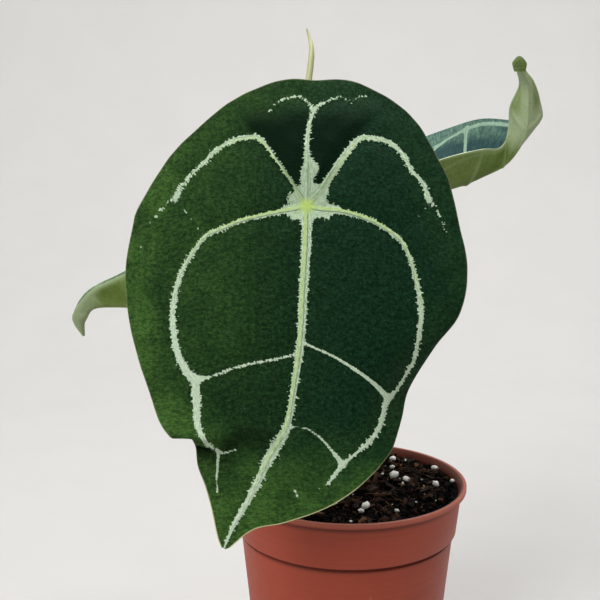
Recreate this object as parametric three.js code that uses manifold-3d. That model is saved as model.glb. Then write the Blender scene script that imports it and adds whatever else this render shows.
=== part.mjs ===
// Potted Anthurium forgetii: a young aroid with four leaves in a 9 cm nursery pot.
// Millimetres, +Z up. The origin is the middle of the pot's underside, on the surface it
// stands on, and the big leaf looks towards -Y.
import * as THREE from 'three';
import { mergeVertices } from 'three/addons/utils/BufferGeometryUtils.js';
import Module from 'manifold-3d';

const wasm = await Module();
wasm.setup();

// Gap between solids that touch on the real plant
const GAP = 0.3;

// Pot
const POT_HEIGHT = 80;
const POT_SEGMENTS = 40;
const WALL = 1.2;
const LIP_RADIUS = 45;
const LIP_HEIGHT = 1.9;
const COLLAR_HEIGHT = 17.9;
const COLLAR_TOP_RADIUS = 43.2;
const COLLAR_FOOT_RADIUS = 41.1;
const BODY_TOP_RADIUS = 40.3;
const BASE_RADIUS = 34;
const BASE_ARCH = 1.6;
const ARCH_INNER_RADIUS = 21;
const ARCH_OUTER_RADIUS = 31;
const DRAIN_COUNT = 8;
const DRAIN_RADIUS = 3.2;
const NOTCH_COUNT = 4;
const NOTCH_SIZE = { length: 8, width: 5, height: 1 };

// Potting mix
const MIX_LEVEL = 77.4;
const MIX_MOUND = 0.8;
const MIX_LUMP_HEIGHT = 0.45;
const MIX_RINGS = 7;
const BARK = { count: 32, shortest: 3, longest: 6 };
const GRAIN = { count: 22, shortest: 1.6, longest: 3 };
const CLEAR_OF_WALL = 4.5;
const CLEAR_OF_STEM = 13;
const SEED = 20;

// Stem and roots
const STEM_FOOT = new THREE.Vector3(-3, 5, 52);
const STEM_TOP = new THREE.Vector3(-4, 4, 83);
const STEM_RADIUS = 5.2;
const ROOT_COUNT = 7;
const ROOT_RADIUS = 1.5;
const ROOT_TIP_RADIUS = 0.8;

// Leaf stalks
const PETIOLE_RADIUS = 1.35;
const PETIOLE_FOOT_RADIUS = 1.9;
const JOINT_RADIUS = 1.9;
const JOINT_LENGTH = 12;
const STALK_SIDES = 8;

// Blades
const BLADE_THICKNESS = 0.8;
const RIB_HEIGHT = 0.7;
const RIB_WIDTH = 2.4;
const QUILT_DEPTH = 0.8;
const QUILT_WIDTH = 4;

const vec = (x, y, z) => new THREE.Vector3(x, y, z);
const smooth = (points) => new THREE.CatmullRomCurve3(points, false, 'catmullrom', 0.5);
const rail = (points) => smooth(points.map(([x, y, z = 0]) => vec(x, y, z)));

// A repeatable random number between low and high
let randomState = SEED;
function random(low, high) {
  randomState = (randomState * 1664525 + 1013904223) % 4294967296;
  return low + (high - low) * (randomState / 4294967296);
}

function material(colour, roughness) {
  return new THREE.MeshStandardMaterial({ color: colour, roughness, metalness: 0 });
}

// The geometry with its shared corners merged, so that it is one closed surface
function welded(geometry) {
  const bare = geometry.clone();
  bare.deleteAttribute('normal');
  bare.deleteAttribute('uv');
  return mergeVertices(bare, 1e-4);
}

function toSolid(geometry) {
  const { attributes, index } = welded(geometry);
  return new wasm.Manifold(new wasm.Mesh({
    numProp: 3,
    vertProperties: new Float32Array(attributes.position.array),
    triVerts: new Uint32Array(index.array),
  }));
}

function toGeometry(solid) {
  const mesh = solid.getMesh();
  const geometry = new THREE.BufferGeometry();
  geometry.setAttribute('position', new THREE.BufferAttribute(mesh.vertProperties, 3));
  geometry.setIndex(new THREE.BufferAttribute(mesh.triVerts, 1));
  geometry.computeVertexNormals();
  return geometry;
}

const joined = (solids) => solids.reduce((sum, solid) => sum.add(solid));

// A round solid turned about Z from [radius, height] points that start and end on the axis
function turned(profile, segments) {
  const points = profile.map(([radius, height]) => new THREE.Vector2(radius, height));
  return new THREE.LatheGeometry(points, segments).rotateX(Math.PI / 2);
}

// A round solid bent along a curve. The profile is a list of [share of length, radius];
// grow makes it fatter and longer by that much, for the hole that it stands in.
function bentAlong(curve, profile, { sides = STALK_SIDES, steps = 22, grow = 0, section } = {}) {
  const length = curve.getLength();
  const radiusAt = (share) => {
    const next = Math.max(1, profile.findIndex(([place]) => place >= share));
    const [[fromShare, fromRadius], [toShare, toRadius]] = profile.slice(next - 1, next + 1);
    return THREE.MathUtils.mapLinear(share, fromShare, toShare, fromRadius, toRadius);
  };
  const outline = [new THREE.Vector2(0, -grow / length)];
  for (let step = 0; step <= steps; step += 1) {
    const share = step / steps;
    outline.push(new THREE.Vector2(radiusAt(share) + grow, share));
  }
  outline[1].y -= grow / length;
  outline[steps + 1].y += grow / length;
  outline.push(new THREE.Vector2(0, 1 + grow / length));
  const geometry = welded(new THREE.LatheGeometry(outline, sides));
  const frames = curve.computeFrenetFrames(steps, false);
  const position = geometry.getAttribute('position');
  for (let i = 0; i < position.count; i += 1) {
    const at = vec(0, 0, 0).fromBufferAttribute(position, i);
    const share = THREE.MathUtils.clamp(at.y, 0, 1);
    const step = Math.round(share * steps);
    const swell = section ? section(Math.atan2(at.z, at.x)) : 1;
    const place = curve.getPointAt(share)
      .addScaledVector(frames.tangents[step], (at.y - share) * length)
      .addScaledVector(frames.normals[step], at.x * swell)
      .addScaledVector(frames.binormals[step], -at.z * swell);
    position.setXYZ(i, place.x, place.y, place.z);
  }
  return geometry;
}

// A thin sheet made solid: both faces are split alike, and the rim joins them all round.
// rib(i) is how far a rib stands out of the underside at point i.
function thickened(points, triangles, rib = () => 0, thickness = BLADE_THICKNESS) {
  const sheet = new THREE.BufferGeometry().setFromPoints(points);
  sheet.setIndex(triangles.flat());
  sheet.computeVertexNormals();
  const normals = points.map((_, i) => vec(0, 0, 0).fromBufferAttribute(sheet.attributes.normal, i));
  const upper = points.map((point, i) => point.clone().addScaledVector(normals[i], thickness / 2));
  const lower = points.map((point, i) => point.clone().addScaledVector(normals[i], -thickness / 2 - rib(i)));
  const under = points.length;
  const faces = [];
  const edges = new Set();
  for (const [a, b, c] of triangles) {
    faces.push(a, b, c, a + under, c + under, b + under);
    for (const edge of [[a, b], [b, c], [c, a]]) edges.add(edge.join());
  }
  for (const edge of edges) {
    const [a, b] = edge.split(',').map(Number);
    if (!edges.has(`${b},${a}`)) faces.push(b, a, a + under, b, a + under, b + under);
  }
  const solid = new THREE.BufferGeometry().setFromPoints([...upper, ...lower]);
  solid.setIndex(faces);
  solid.computeVertexNormals();
  return solid;
}

// Points and triangles of a sheet whose point at column u (-1 to 1) and row v (0 to 1) is at(u, v)
function gridSheet(columns, rows, at) {
  const points = [];
  const triangles = [];
  for (let row = 0; row <= rows; row += 1) {
    for (let column = 0; column <= columns; column += 1) {
      points.push(at((2 * column) / columns - 1, row / rows));
      if (row === 0 || column === 0) continue;
      const d = points.length - 1;
      const [a, b, c] = [d - columns - 2, d - columns - 1, d - 1];
      triangles.push([a, c, d], [a, d, b]);
    }
  }
  return { points, triangles };
}

// Pot: a thin wall all over, arched under the base between the middle and the foot ring
function makePot() {
  const collarFoot = POT_HEIGHT - COLLAR_HEIGHT;
  const lipFoot = POT_HEIGHT - LIP_HEIGHT;
  const outside = [
    [0, 0],
    [ARCH_INNER_RADIUS, 0],
    [ARCH_INNER_RADIUS + 1, BASE_ARCH],
    [ARCH_OUTER_RADIUS - 1, BASE_ARCH],
    [ARCH_OUTER_RADIUS, 0],
    [BASE_RADIUS - 0.5, 0],
    [BASE_RADIUS, 0.6],
    [BODY_TOP_RADIUS, collarFoot - 0.2],
    [COLLAR_FOOT_RADIUS - 0.2, collarFoot],
    [COLLAR_FOOT_RADIUS, collarFoot + 0.3],
    [COLLAR_TOP_RADIUS, lipFoot - 0.2],
    [LIP_RADIUS - 0.3, lipFoot],
    [LIP_RADIUS, lipFoot + 0.3],
    [LIP_RADIUS, POT_HEIGHT - 0.5],
    [LIP_RADIUS - 0.5, POT_HEIGHT],
  ];
  const lipInside = [
    [COLLAR_TOP_RADIUS + 0.4, POT_HEIGHT],
    [COLLAR_TOP_RADIUS + 0.1, POT_HEIGHT - 0.3],
  ];
  const floorInside = [
    [ARCH_OUTER_RADIUS + 0.5, WALL],
    [ARCH_OUTER_RADIUS - 0.5, BASE_ARCH + WALL],
    [ARCH_INNER_RADIUS + 0.5, BASE_ARCH + WALL],
    [ARCH_INNER_RADIUS - 0.5, WALL],
    [0, WALL],
  ];
  const profile = [...outside, ...lipInside, ...potWallInside().reverse(), ...floorInside];
  const body = toSolid(turned(profile, POT_SEGMENTS));
  const cuts = [];
  for (let i = 0; i < DRAIN_COUNT; i += 1) {
    const angle = (2 * Math.PI * i) / DRAIN_COUNT;
    const middle = (ARCH_INNER_RADIUS + ARCH_OUTER_RADIUS) / 2;
    const hole = new THREE.CylinderGeometry(DRAIN_RADIUS, DRAIN_RADIUS, 4 * BASE_ARCH, 12);
    hole.rotateX(Math.PI / 2).translate(middle, 0, BASE_ARCH).rotateZ(angle);
    cuts.push(toSolid(hole));
  }
  for (let i = 0; i < NOTCH_COUNT; i += 1) {
    const notch = new THREE.BoxGeometry(NOTCH_SIZE.length, NOTCH_SIZE.width, 2 * NOTCH_SIZE.height);
    notch.translate(BASE_RADIUS, 0, 0).rotateZ((2 * Math.PI * (i + 0.5)) / NOTCH_COUNT);
    cuts.push(toSolid(notch));
  }
  return toGeometry(cuts.reduce((pot, cut) => pot.subtract(cut), body));
}

// The inner face of the pot's wall, from the floor to the level of the mix
function potWallInside() {
  const collarFoot = POT_HEIGHT - COLLAR_HEIGHT;
  return [
    [BASE_RADIUS - WALL, WALL],
    [BODY_TOP_RADIUS - WALL, collarFoot - 0.5],
    [COLLAR_FOOT_RADIUS - WALL, collarFoot + 1],
    [COLLAR_TOP_RADIUS - WALL, MIX_LEVEL],
  ];
}

// Height of the mix's surface: a low mound with soft lumps
function mixHeight(x, y) {
  const spread = Math.hypot(x, y) / COLLAR_TOP_RADIUS;
  const lumps = Math.sin(0.31 * x + 1.3) * Math.cos(0.27 * y) + 0.6 * Math.sin(0.53 * x - 0.47 * y);
  return MIX_LEVEL + MIX_MOUND * (1 - spread * spread) + MIX_LUMP_HEIGHT * lumps;
}

// Potting mix: fills the pot down to the arch of its base, with bark chips and grains half sunk
// in its surface, and a plain hole for the stem and each root
function makeMix() {
  const floor = BASE_ARCH + WALL + GAP;
  const wall = potWallInside().map(([radius, z]) => [radius - GAP, Math.max(z, floor)]);
  const edgeRadius = wall.at(-1)[0];
  const profile = [[0, floor], ...wall];
  for (let ring = MIX_RINGS - 1; ring >= 0; ring -= 1) {
    profile.push([(edgeRadius * ring) / MIX_RINGS, MIX_LEVEL]);
  }
  const heap = turned(profile, POT_SEGMENTS);
  const position = heap.getAttribute('position');
  for (let i = 0; i < position.count; i += 1) {
    if (position.getZ(i) < MIX_LEVEL - 1e-3) continue;
    position.setZ(i, mixHeight(position.getX(i), position.getY(i)));
  }
  const lumps = [];
  for (let i = 0; i < BARK.count + GRAIN.count; i += 1) {
    const kind = i < BARK.count ? BARK : GRAIN;
    const reach = random(kind.shortest, kind.longest);
    const lump = kind === BARK
      ? new THREE.BoxGeometry(reach, reach * random(0.4, 0.7), random(1.2, 2))
      : new THREE.IcosahedronGeometry(reach / 2, 0);
    lump.rotateX(random(-0.4, 0.4)).rotateY(random(-0.4, 0.4)).rotateZ(random(0, Math.PI));
    const angle = random(0, 2 * Math.PI);
    const radius = Math.sqrt(random(0, 1)) * (edgeRadius - CLEAR_OF_WALL);
    const [x, y] = [radius * Math.cos(angle), radius * Math.sin(angle)];
    if (Math.hypot(x - STEM_TOP.x, y - STEM_TOP.y) < CLEAR_OF_STEM) continue;
    lumps.push(toSolid(lump.translate(x, y, mixHeight(x, y) + 0.1 * reach)));
  }
  return toGeometry(joined([toSolid(heap), ...lumps]).subtract(makeStemSolid(GAP)));
}

// The stem is short and upright. Each leaf grows from a stub on it: where, which way it points.
const STUBS = {
  main: { foot: vec(-4.5, 1, 79), top: vec(-5, -2.5, 88) },
  right: { foot: vec(-1, 4, 79), top: vec(1.5, 3.2, 87.5) },
  left: { foot: vec(-6.5, 5.5, 79), top: vec(-10.2, 7, 86.5) },
  young: { foot: vec(-4, 6, 80), top: vec(-4.6, 8.4, 89.5) },
};

function makeStemSolid(grow = 0) {
  const stem = new THREE.LineCurve3(STEM_FOOT, STEM_TOP);
  const profile = [[0, 2.5], [0.15, 4.4], [0.6, STEM_RADIUS], [0.9, STEM_RADIUS - 0.4], [1, 3]];
  const pieces = [bentAlong(stem, profile, { sides: 12, steps: 7, grow })];
  for (const { foot, top } of Object.values(STUBS)) {
    const stub = new THREE.LineCurve3(foot, top);
    pieces.push(bentAlong(stub, [[0, 2.9], [1, PETIOLE_FOOT_RADIUS]], { steps: 2, grow }));
  }
  for (let i = 0; i < ROOT_COUNT; i += 1) pieces.push(makeRoot(i, grow));
  return joined(pieces.map(toSolid));
}

// Roots leave the stem at different heights, spread to the wall and turn down along it
function makeRoot(i, grow) {
  const angle = (2 * Math.PI * (i + 0.2)) / ROOT_COUNT;
  const out = (radius, z) => vec(radius * Math.cos(angle), radius * Math.sin(angle), z);
  const height = 58 + 4 * (i % 3);
  const start = vec(STEM_FOOT.x, STEM_FOOT.y, height);
  const depth = 12 + 7 * (i % 4);
  const route = smooth([start, out(15, height - 3), out(26, height - 14), out(30, 34), out(28, depth)]);
  const profile = [[0, ROOT_RADIUS], [1, ROOT_TIP_RADIUS]];
  return bentAlong(route, profile, { sides: 6, steps: 10, grow });
}

// A leaf stalk from its stub to the underside of its blade, thickest at its foot and at the
// joint under the blade
function makePetiole(stub, route, { jointLength = JOINT_LENGTH, endRadius = JOINT_RADIUS } = {}) {
  const along = vec(0, 0, 0).subVectors(stub.top, stub.foot).normalize();
  const foot = stub.top.clone().addScaledVector(along, GAP);
  const curve = smooth([foot, foot.clone().addScaledVector(along, 6), ...route]);
  const jointShare = 1 - jointLength / curve.getLength();
  const profile = [
    [0, PETIOLE_FOOT_RADIUS],
    [0.15, PETIOLE_RADIUS + 0.15],
    [jointShare - 0.04, PETIOLE_RADIUS],
    [jointShare, endRadius],
    [0.99, endRadius],
    [1, endRadius - 0.4],
  ];
  return bentAlong(curve, profile);
}

// Main blade, in its own plane: the knot where the stalk meets it is at 0, 0, x runs to the
// right, y to the leaf's top edge and z to the viewer
const KNOT = vec(-15.7, -48.2, 189);
const LEAN = THREE.MathUtils.degToRad(24.5);
const LEAF_RIGHT = vec(1, 0, 0);
const LEAF_UP = vec(0, Math.sin(LEAN), Math.cos(LEAN));
const LEAF_OUT = vec(0, -Math.cos(LEAN), Math.sin(LEAN));
const inLeafPlane = (x, y, z) => KNOT.clone()
  .addScaledVector(LEAF_RIGHT, x).addScaledVector(LEAF_UP, y).addScaledVector(LEAF_OUT, z);

// The blade below the knot hangs between three rails: its left margin, midrib and right margin,
// each from the level of the knot to the tip. The left margin turns back on itself where the
// blade has a pleat, and the right margin is rolled back.
const LEFT_MARGIN = rail([
  [-56, -0.8], [-58.4, -17.3], [-57.3, -32.4], [-53.7, -47], [-49.6, -58.4], [-46.3, -67.5],
  [-42.3, -72.4, 0.5], [-39.3, -70.6, -4.5], [-36, -73, -8], [-34.5, -80.7, -6],
  [-31.8, -87.6, -3], [-29.5, -95.6, -1.5], [-27.9, -102.7], [-26.8, -105.6],
]);
const MIDRIB = rail([
  [0, 0], [-0.5, -18.6], [-1.4, -34.4], [-2.9, -48.7], [-4.4, -60], [-5.6, -67.3],
  [-8.7, -74.2], [-10.3, -76.6], [-11.8, -79], [-14.6, -84.7],
  [-17.7, -90.4], [-20.5, -95.2], [-23.7, -100.6], [-25.6, -106.2],
]);
const RIGHT_MARGIN = rail([
  [48.9, -2.1], [51.5, -18.6], [48.8, -33.1, -1], [41, -43, -7], [33, -55.5, -12], [30.2, -65.5, -9],
  [27.1, -75, -5], [24.1, -79.5, -3], [20.2, -83.9, -1.5], [13.3, -89.8],
  [4.6, -94.6], [-6.9, -98.4], [-16.5, -100.4], [-24, -105.8],
]);
// The margin above the knot, from the left round the top to the right
const TOP_MARGIN = rail([
  [-56, -0.8], [-53.5, 4.5], [-44.8, 19.2], [-35.6, 29.1], [-25.5, 38.3], [-12.6, 45.2], [-4.9, 46.9],
  [4, 46.4], [14.5, 46.6], [26.5, 40.7], [36.2, 31.4], [42.6, 19], [46.2, 11], [48.9, -2.1],
]);
const LEFT_ROLL = 1.3;
const RIGHT_ROLL = 4;

// The main veins, as points in the blade's plane
const VEINS = [
  [[0, 0], [-1.1, -27.4], [-3.6, -54.8], [-7.2, -71.5], [-14.6, -84.6], [-25.9, -106]],
  [[0, 0], [0.3, 24], [2.4, 34.7], [-5.6, 39.6], [-12.8, 34.4]],
  [[0, 0], [-6.2, 10.5], [-14, 23], [-27.3, 22], [-39, 10.4], [-49.4, -1.8]],
  [[0, 0], [7.8, 10.6], [16.2, 23.2], [29, 21.7], [36.9, 10.3], [43.4, -3.1]],
  [[0, 0], [-21.5, -4.7], [-35.4, -13.1], [-42.6, -33.6], [-34.9, -54.7], [-33.7, -71.9], [-27.9, -90.7]],
  [[-34.9, -54.7], [-15.4, -49.9], [-3.3, -47.3]],
  [[0, 0], [20.9, -4.7], [33.5, -19.2], [36, -36], [26.1, -59.4], [22.4, -69.3], [11, -80.9], [3.5, -88.4]],
  [[-1.9, -43.5], [13.2, -50.9], [25.2, -59.4]],
  [[-6.3, -69.7], [4.6, -73.3], [11, -80.9]],
];
const VEIN_POINTS = VEINS.flatMap((points) => rail(points).getSpacedPoints(40));

function distanceToVein(x, y) {
  return Math.min(...VEIN_POINTS.map((point) => Math.hypot(point.x - x, point.y - y)));
}

// The blade bulges towards the viewer, falls away to all its margins and is quilted: its veins
// lie in soft valleys
function leafHeight(x, y) {
  const acrossBend = (x * x) / 380;
  const lengthBend = (y * y) / (y < 0 ? 660 : 320);
  return -acrossBend - lengthBend - QUILT_DEPTH * Math.exp(-((distanceToVein(x, y) / QUILT_WIDTH) ** 2));
}

// A point of the blade below the knot: u runs from the left margin to the right, v to the tip
function lowerBladePoint(u, v) {
  const middle = MIDRIB.getPoint(v);
  const margin = (u < 0 ? LEFT_MARGIN : RIGHT_MARGIN).getPoint(v);
  const { x, y } = middle.lerp(margin, Math.abs(u));
  return vec(x, y, margin.z * Math.abs(u) ** (u < 0 ? LEFT_ROLL : RIGHT_ROLL));
}

function makeMainBlade() {
  const half = 12;
  const rows = 32;
  const rays = 24;
  const { points, triangles } = gridSheet(2 * half, rows, lowerBladePoint);
  // Above the knot the sheet is a fan of rays from the knot to the top margin; its first and
  // last ray are the halves of the top row
  const centre = half;
  let previous = Array.from({ length: half + 1 }, (_, ring) => centre - ring);
  for (let ray = 1; ray <= rays; ray += 1) {
    const end = TOP_MARGIN.getPoint(ray / rays);
    const current = [centre];
    for (let ring = 1; ring <= half; ring += 1) {
      if (ray === rays) {
        current.push(centre + ring);
        continue;
      }
      const reach = ring / half;
      current.push(points.length);
      points.push(vec(end.x * reach, end.y * reach, 0));
    }
    for (let ring = 0; ring < half; ring += 1) {
      triangles.push([previous[ring], previous[ring + 1], current[ring + 1]].reverse());
      if (ring > 0) triangles.push([previous[ring], current[ring + 1], current[ring]].reverse());
    }
    previous = current;
  }
  const ribs = points.map(({ x, y }) => RIB_HEIGHT * Math.exp(-((distanceToVein(x, y) / RIB_WIDTH) ** 2)));
  const placed = points.map(({ x, y, z }) => inLeafPlane(x, y, z + leafHeight(x, y)));
  return thickened(placed, triangles, (i) => ribs[i]);
}

// The two smaller blades hang between three rails in the plant's own frame. Each row across
// such a blade is an arc from one margin over the midrib to the other margin.
function foldedBlade(near, midrib, far, columns, rows) {
  const at = (u, v) => {
    const [low, middle, high] = [near, midrib, far].map((curve) => curve.getPoint(v));
    const slope = vec(0, 0, 0).subVectors(high, low).multiplyScalar(0.5);
    const bow = vec(0, 0, 0).addVectors(high, low).multiplyScalar(0.5).sub(middle);
    return middle.addScaledVector(slope, u).addScaledVector(bow, u * u);
  };
  const { points, triangles } = gridSheet(columns, rows, at);
  const middle = columns / 2;
  const rib = (i) => {
    const along = Math.floor(i / (columns + 1)) / rows;
    return i % (columns + 1) === middle ? RIB_HEIGHT * Math.sin(Math.PI * along) ** 0.5 : 0;
  };
  return thickened(points, triangles, rib);
}

// Right blade: folded up like a boat, its tip curled over
const RIGHT_NEAR = rail([
  [2.4, 0.6, 191.6], [9.5, -10.5, 195.1], [18.7, -13.1, 197.3], [34.3, -10.1, 202.4], [46.9, -2.6, 204.7],
  [54.8, 2.6, 205.3], [58.1, 6.8, 211.6], [60.6, 11.8, 222], [60.8, 10.8, 231.4], [58.9, 3.7, 234.2],
]);
const RIGHT_MIDRIB = rail([
  [2.6, 6.1, 191.9], [9.7, 6.5, 188], [19.8, 7.3, 186.8], [38.2, 8, 190.4], [49.3, 8.8, 194.6],
  [57.8, 5.8, 199.8], [63, 2.5, 209.3], [64.2, 4.8, 222], [62, 7.3, 232], [59.6, 3, 235],
]);
const RIGHT_FAR = rail([
  [2.8, 11.6, 192.2], [12.2, 27.9, 199.2], [22.2, 33, 204.4], [38.7, 32.1, 210.8], [51.3, 24.8, 214.9],
  [63.8, 16.5, 214.3], [71.3, 13.6, 215.1], [69.8, 13.4, 225.3], [65.1, 10.4, 232.7], [60.3, 3.7, 235.5],
]);

// Left blade: hollow along its midrib, its tip hangs down
const LEFT_NEAR = rail([
  [-38.6, 24.6, 148.1], [-44, 17.8, 155.6], [-51.4, 14.6, 159.9], [-73.8, 20.6, 159.8], [-91.2, 27.4, 152.4],
  [-102, 29, 146.4], [-107.6, 27.4, 139.1], [-107.5, 27.6, 134.7], [-104.6, 28.9, 129.6],
]);
const LEFT_MIDRIB = rail([
  [-37.7, 27.9, 144.3], [-43.6, 27.5, 142], [-51.9, 27.3, 140.8], [-73.5, 29.4, 141], [-92.1, 31.5, 141.3],
  [-100.4, 31.3, 140.4], [-103.4, 30.5, 136.3], [-104.3, 30.2, 133.8], [-104.1, 30.1, 129.3],
]);
const LEFT_FAR = rail([
  [-39.1, 34.6, 147.1], [-46.5, 43.8, 153], [-55, 48.5, 156.4], [-78.8, 48.5, 156.4], [-94.4, 42.4, 150.9],
  [-103.8, 37.4, 146], [-108.6, 34.8, 138.7], [-108.2, 33, 134.1], [-104.6, 31.3, 129.6],
]);

// Young blade: still rolled up, one margin wrapped over the other
const YOUNG_ROUTE = smooth([
  vec(-12.6, 5.4, 164), vec(-15, 5.8, 190), vec(-16.5, 7.4, 214.8), vec(-14.8, 11.1, 229.2),
  vec(-13.7, 15.2, 240.1), vec(-15.3, 21.7, 248),
]);
const YOUNG_PROFILE = [[0, 1.3], [0.12, 2.1], [0.35, 2.3], [0.6, 1.4], [0.85, 1.05], [1, 0.4]];

function makeYoungBlade() {
  const wrap = (angle) => 0.85 + 0.3 * (angle / (2 * Math.PI) + 0.5);
  return bentAlong(YOUNG_ROUTE, YOUNG_PROFILE, { sides: 12, steps: 24, section: wrap });
}

// A dry bract: a pointed strip that clasps the stem at its foot and leans outwards
function makeCataphyll(facing, height, spread) {
  const at = (u, v) => {
    const angle = facing + u * spread * Math.sqrt(1.02 - v);
    const radius = STEM_RADIUS + 2 * GAP + BLADE_THICKNESS / 2 + 9 * v * v;
    const z = STEM_TOP.z - 1.5 + height * v;
    return vec(STEM_TOP.x + radius * Math.cos(angle), STEM_TOP.y + radius * Math.sin(angle), z);
  };
  const { points, triangles } = gridSheet(8, 10, at);
  return thickened(points, triangles.map((corners) => [...corners].reverse()));
}

const plant = new THREE.Group();
const terracotta = 0x95503c;
const green = 0x1d3720;
const paleGreen = 0x75825a;
const stalkGreen = 0x6f8a4a;

function place(name, geometry, colour, roughness = 0.6) {
  const mesh = new THREE.Mesh(geometry, material(colour, roughness));
  mesh.name = name;
  plant.add(mesh);
}

place('pot', makePot(), terracotta, 0.5);
place('potting_mix', makeMix(), 0x2b1d18, 0.95);
place('stem_with_roots', toGeometry(makeStemSolid()), 0x8a7a55, 0.8);
place('cataphyll_front', makeCataphyll(3.6, 26, 0.42), 0xa08a5c, 0.8);
place('cataphyll_back', makeCataphyll(0.7, 20, 0.42), 0xa08a5c, 0.8);

const behindKnot = (distance) => inLeafPlane(0, 0, -QUILT_DEPTH - distance);
const bladeBack = BLADE_THICKNESS / 2 + RIB_HEIGHT + GAP;
place('petiole_main', makePetiole(STUBS.main, [
  vec(-7, -9, 116), vec(-10.5, -19, 148), vec(-14, -28, 171), behindKnot(12), behindKnot(bladeBack),
]), stalkGreen);
place('petiole_right', makePetiole(STUBS.right, [
  vec(6.5, 3.5, 112), vec(13, 6, 146), vec(18.6, 7.2, 172), vec(19.8, 7.3, 186.8 - bladeBack),
]), stalkGreen);
place('petiole_left', makePetiole(STUBS.left, [
  vec(-24, 14, 104), vec(-40, 22, 121), vec(-49.5, 26.6, 131), vec(-51.9, 27.3, 140.8 - bladeBack),
]), stalkGreen);
const youngFoot = YOUNG_ROUTE.getPointAt(0);
const youngBack = YOUNG_ROUTE.getTangentAt(0).multiplyScalar(-GAP);
place('petiole_young', makePetiole(STUBS.young, [
  vec(-7.5, 7.4, 118), vec(-10.4, 6.2, 142), youngFoot.clone().add(youngBack),
], { endRadius: 1.5 }), stalkGreen);

place('blade_main', makeMainBlade(), green);
place('blade_right', foldedBlade(RIGHT_NEAR, RIGHT_MIDRIB, RIGHT_FAR, 12, 28), paleGreen);
place('blade_left', foldedBlade(LEFT_NEAR, LEFT_MIDRIB, LEFT_FAR, 10, 22), paleGreen);
place('blade_young', makeYoungBlade(), 0xc3c492);

export default plant;
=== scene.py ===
# %% [markdown]
# # A young anthurium with silver veins, in its nursery pot
#
# The CAD model fixes every size and place. This lesson dresses it: each solid is replaced by a finer
# piece of the same size in the same place, and each piece gets a finish built from shader nodes.
# Sizes below are written in millimetres, because the plant was measured in them, and Blender works
# in metres, so one factor changes one into the other.

import math
import random

import bpy
import numpy as np
from mathutils import Euler, Matrix, Vector


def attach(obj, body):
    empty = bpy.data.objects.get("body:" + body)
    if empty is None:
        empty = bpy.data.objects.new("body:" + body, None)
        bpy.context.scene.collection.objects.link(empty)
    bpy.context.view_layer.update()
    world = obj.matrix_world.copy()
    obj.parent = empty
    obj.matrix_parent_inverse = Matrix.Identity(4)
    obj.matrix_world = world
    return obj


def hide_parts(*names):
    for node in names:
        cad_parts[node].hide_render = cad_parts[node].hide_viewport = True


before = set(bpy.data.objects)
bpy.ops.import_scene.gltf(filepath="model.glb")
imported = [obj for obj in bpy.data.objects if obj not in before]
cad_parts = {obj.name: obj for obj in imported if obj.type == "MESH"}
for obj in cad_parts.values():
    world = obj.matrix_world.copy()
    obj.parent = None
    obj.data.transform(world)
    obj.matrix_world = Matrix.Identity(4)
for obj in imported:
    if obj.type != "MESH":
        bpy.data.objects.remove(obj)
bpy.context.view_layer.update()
MM = 0.001

# %% [markdown]
# ## The view
#
# The plant was seen from a little above the pot's rim, with the blade nearly filling the picture. A
# 65 mm lens at 39 cm gives the same perspective: the ellipses of the pot's rim and collar are as
# open as they should be, and their curves match from edge to edge.

# %% Place the camera
CAMERA_PLACE = (-17.9 * MM, -392.9 * MM, 222.3 * MM)
CAMERA_TILT = 10.5

bpy.ops.object.select_all(action="DESELECT")
bpy.ops.object.camera_add(location=CAMERA_PLACE, rotation=(math.radians(90 - CAMERA_TILT), 0, 0))
camera = bpy.context.object
camera.name = "camera"
camera.data.lens = 65
camera.data.sensor_width = 36
camera.data.clip_start = 0.01
bpy.context.scene.camera = camera
print("camera", round(camera.data.lens), "mm lens, tilted down", CAMERA_TILT, "degrees")

# %% [markdown]
# ## Small helpers for finishes
#
# A finish is a small network of nodes. Writing each node out would bury the idea behind it, so a few
# helpers add a node to the finish that was started last, and return its result: a colour, a noise, a
# blend. Results are added and multiplied like numbers, and each time that adds a Math node. Colours
# are written as the 0 to 255 values of a paint program, and `paint` changes them to the linear
# values that light is worked out in.

# %% Start a finish
def paint(red, green, blue):
    """A colour picked in a paint program, as linear light."""
    shares = [value / 255 for value in (red, green, blue)]
    return [s / 12.92 if s <= 0.04045 else ((s + 0.055) / 1.055) ** 2.4 for s in shares] + [1.0]


def new_finish(name):
    """A new material and its shader. The helpers add their nodes to it until the next one starts."""
    global tree
    finish = bpy.data.materials.new(name)
    finish.use_nodes = True
    tree = finish.node_tree
    return finish, tree.nodes["Principled BSDF"]


def feed(socket, value):
    """Joins a result to a socket, or sets the socket to a plain value."""
    if isinstance(value, Result):
        tree.links.new(value.socket, socket)
    else:
        socket.default_value = value


def added(kind, inputs, **settings):
    """Adds a node with these settings, feeds its inputs and gives its outputs."""
    node = tree.nodes.new("ShaderNode" + kind)
    for key, value in settings.items():
        setattr(node, key, value)
    for key, value in inputs.items():
        feed(node.inputs[key], value)
    return node.outputs


print("middle grey is", round(paint(128, 128, 128)[0], 2), "of full light")

# %% Results that can be added and multiplied
class Result:
    """What a node gives."""

    def __init__(self, socket):
        self.socket = socket

    def __add__(self, other):
        return maths("ADD", self, other)

    def __radd__(self, other):
        return maths("ADD", other, self)

    def __sub__(self, other):
        return maths("SUBTRACT", self, other)

    def __rsub__(self, other):
        return maths("SUBTRACT", other, self)

    def __mul__(self, other):
        return maths("MULTIPLY", self, other)

    def __abs__(self):
        return maths("ABSOLUTE", self)


def maths(operation, first, second=0.0):
    return Result(added("Math", {0: first, 1: second}, operation=operation)[0])


def held(result):
    """Keeps a sum or a product from 0 to 1."""
    result.socket.node.use_clamp = True
    return result


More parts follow.
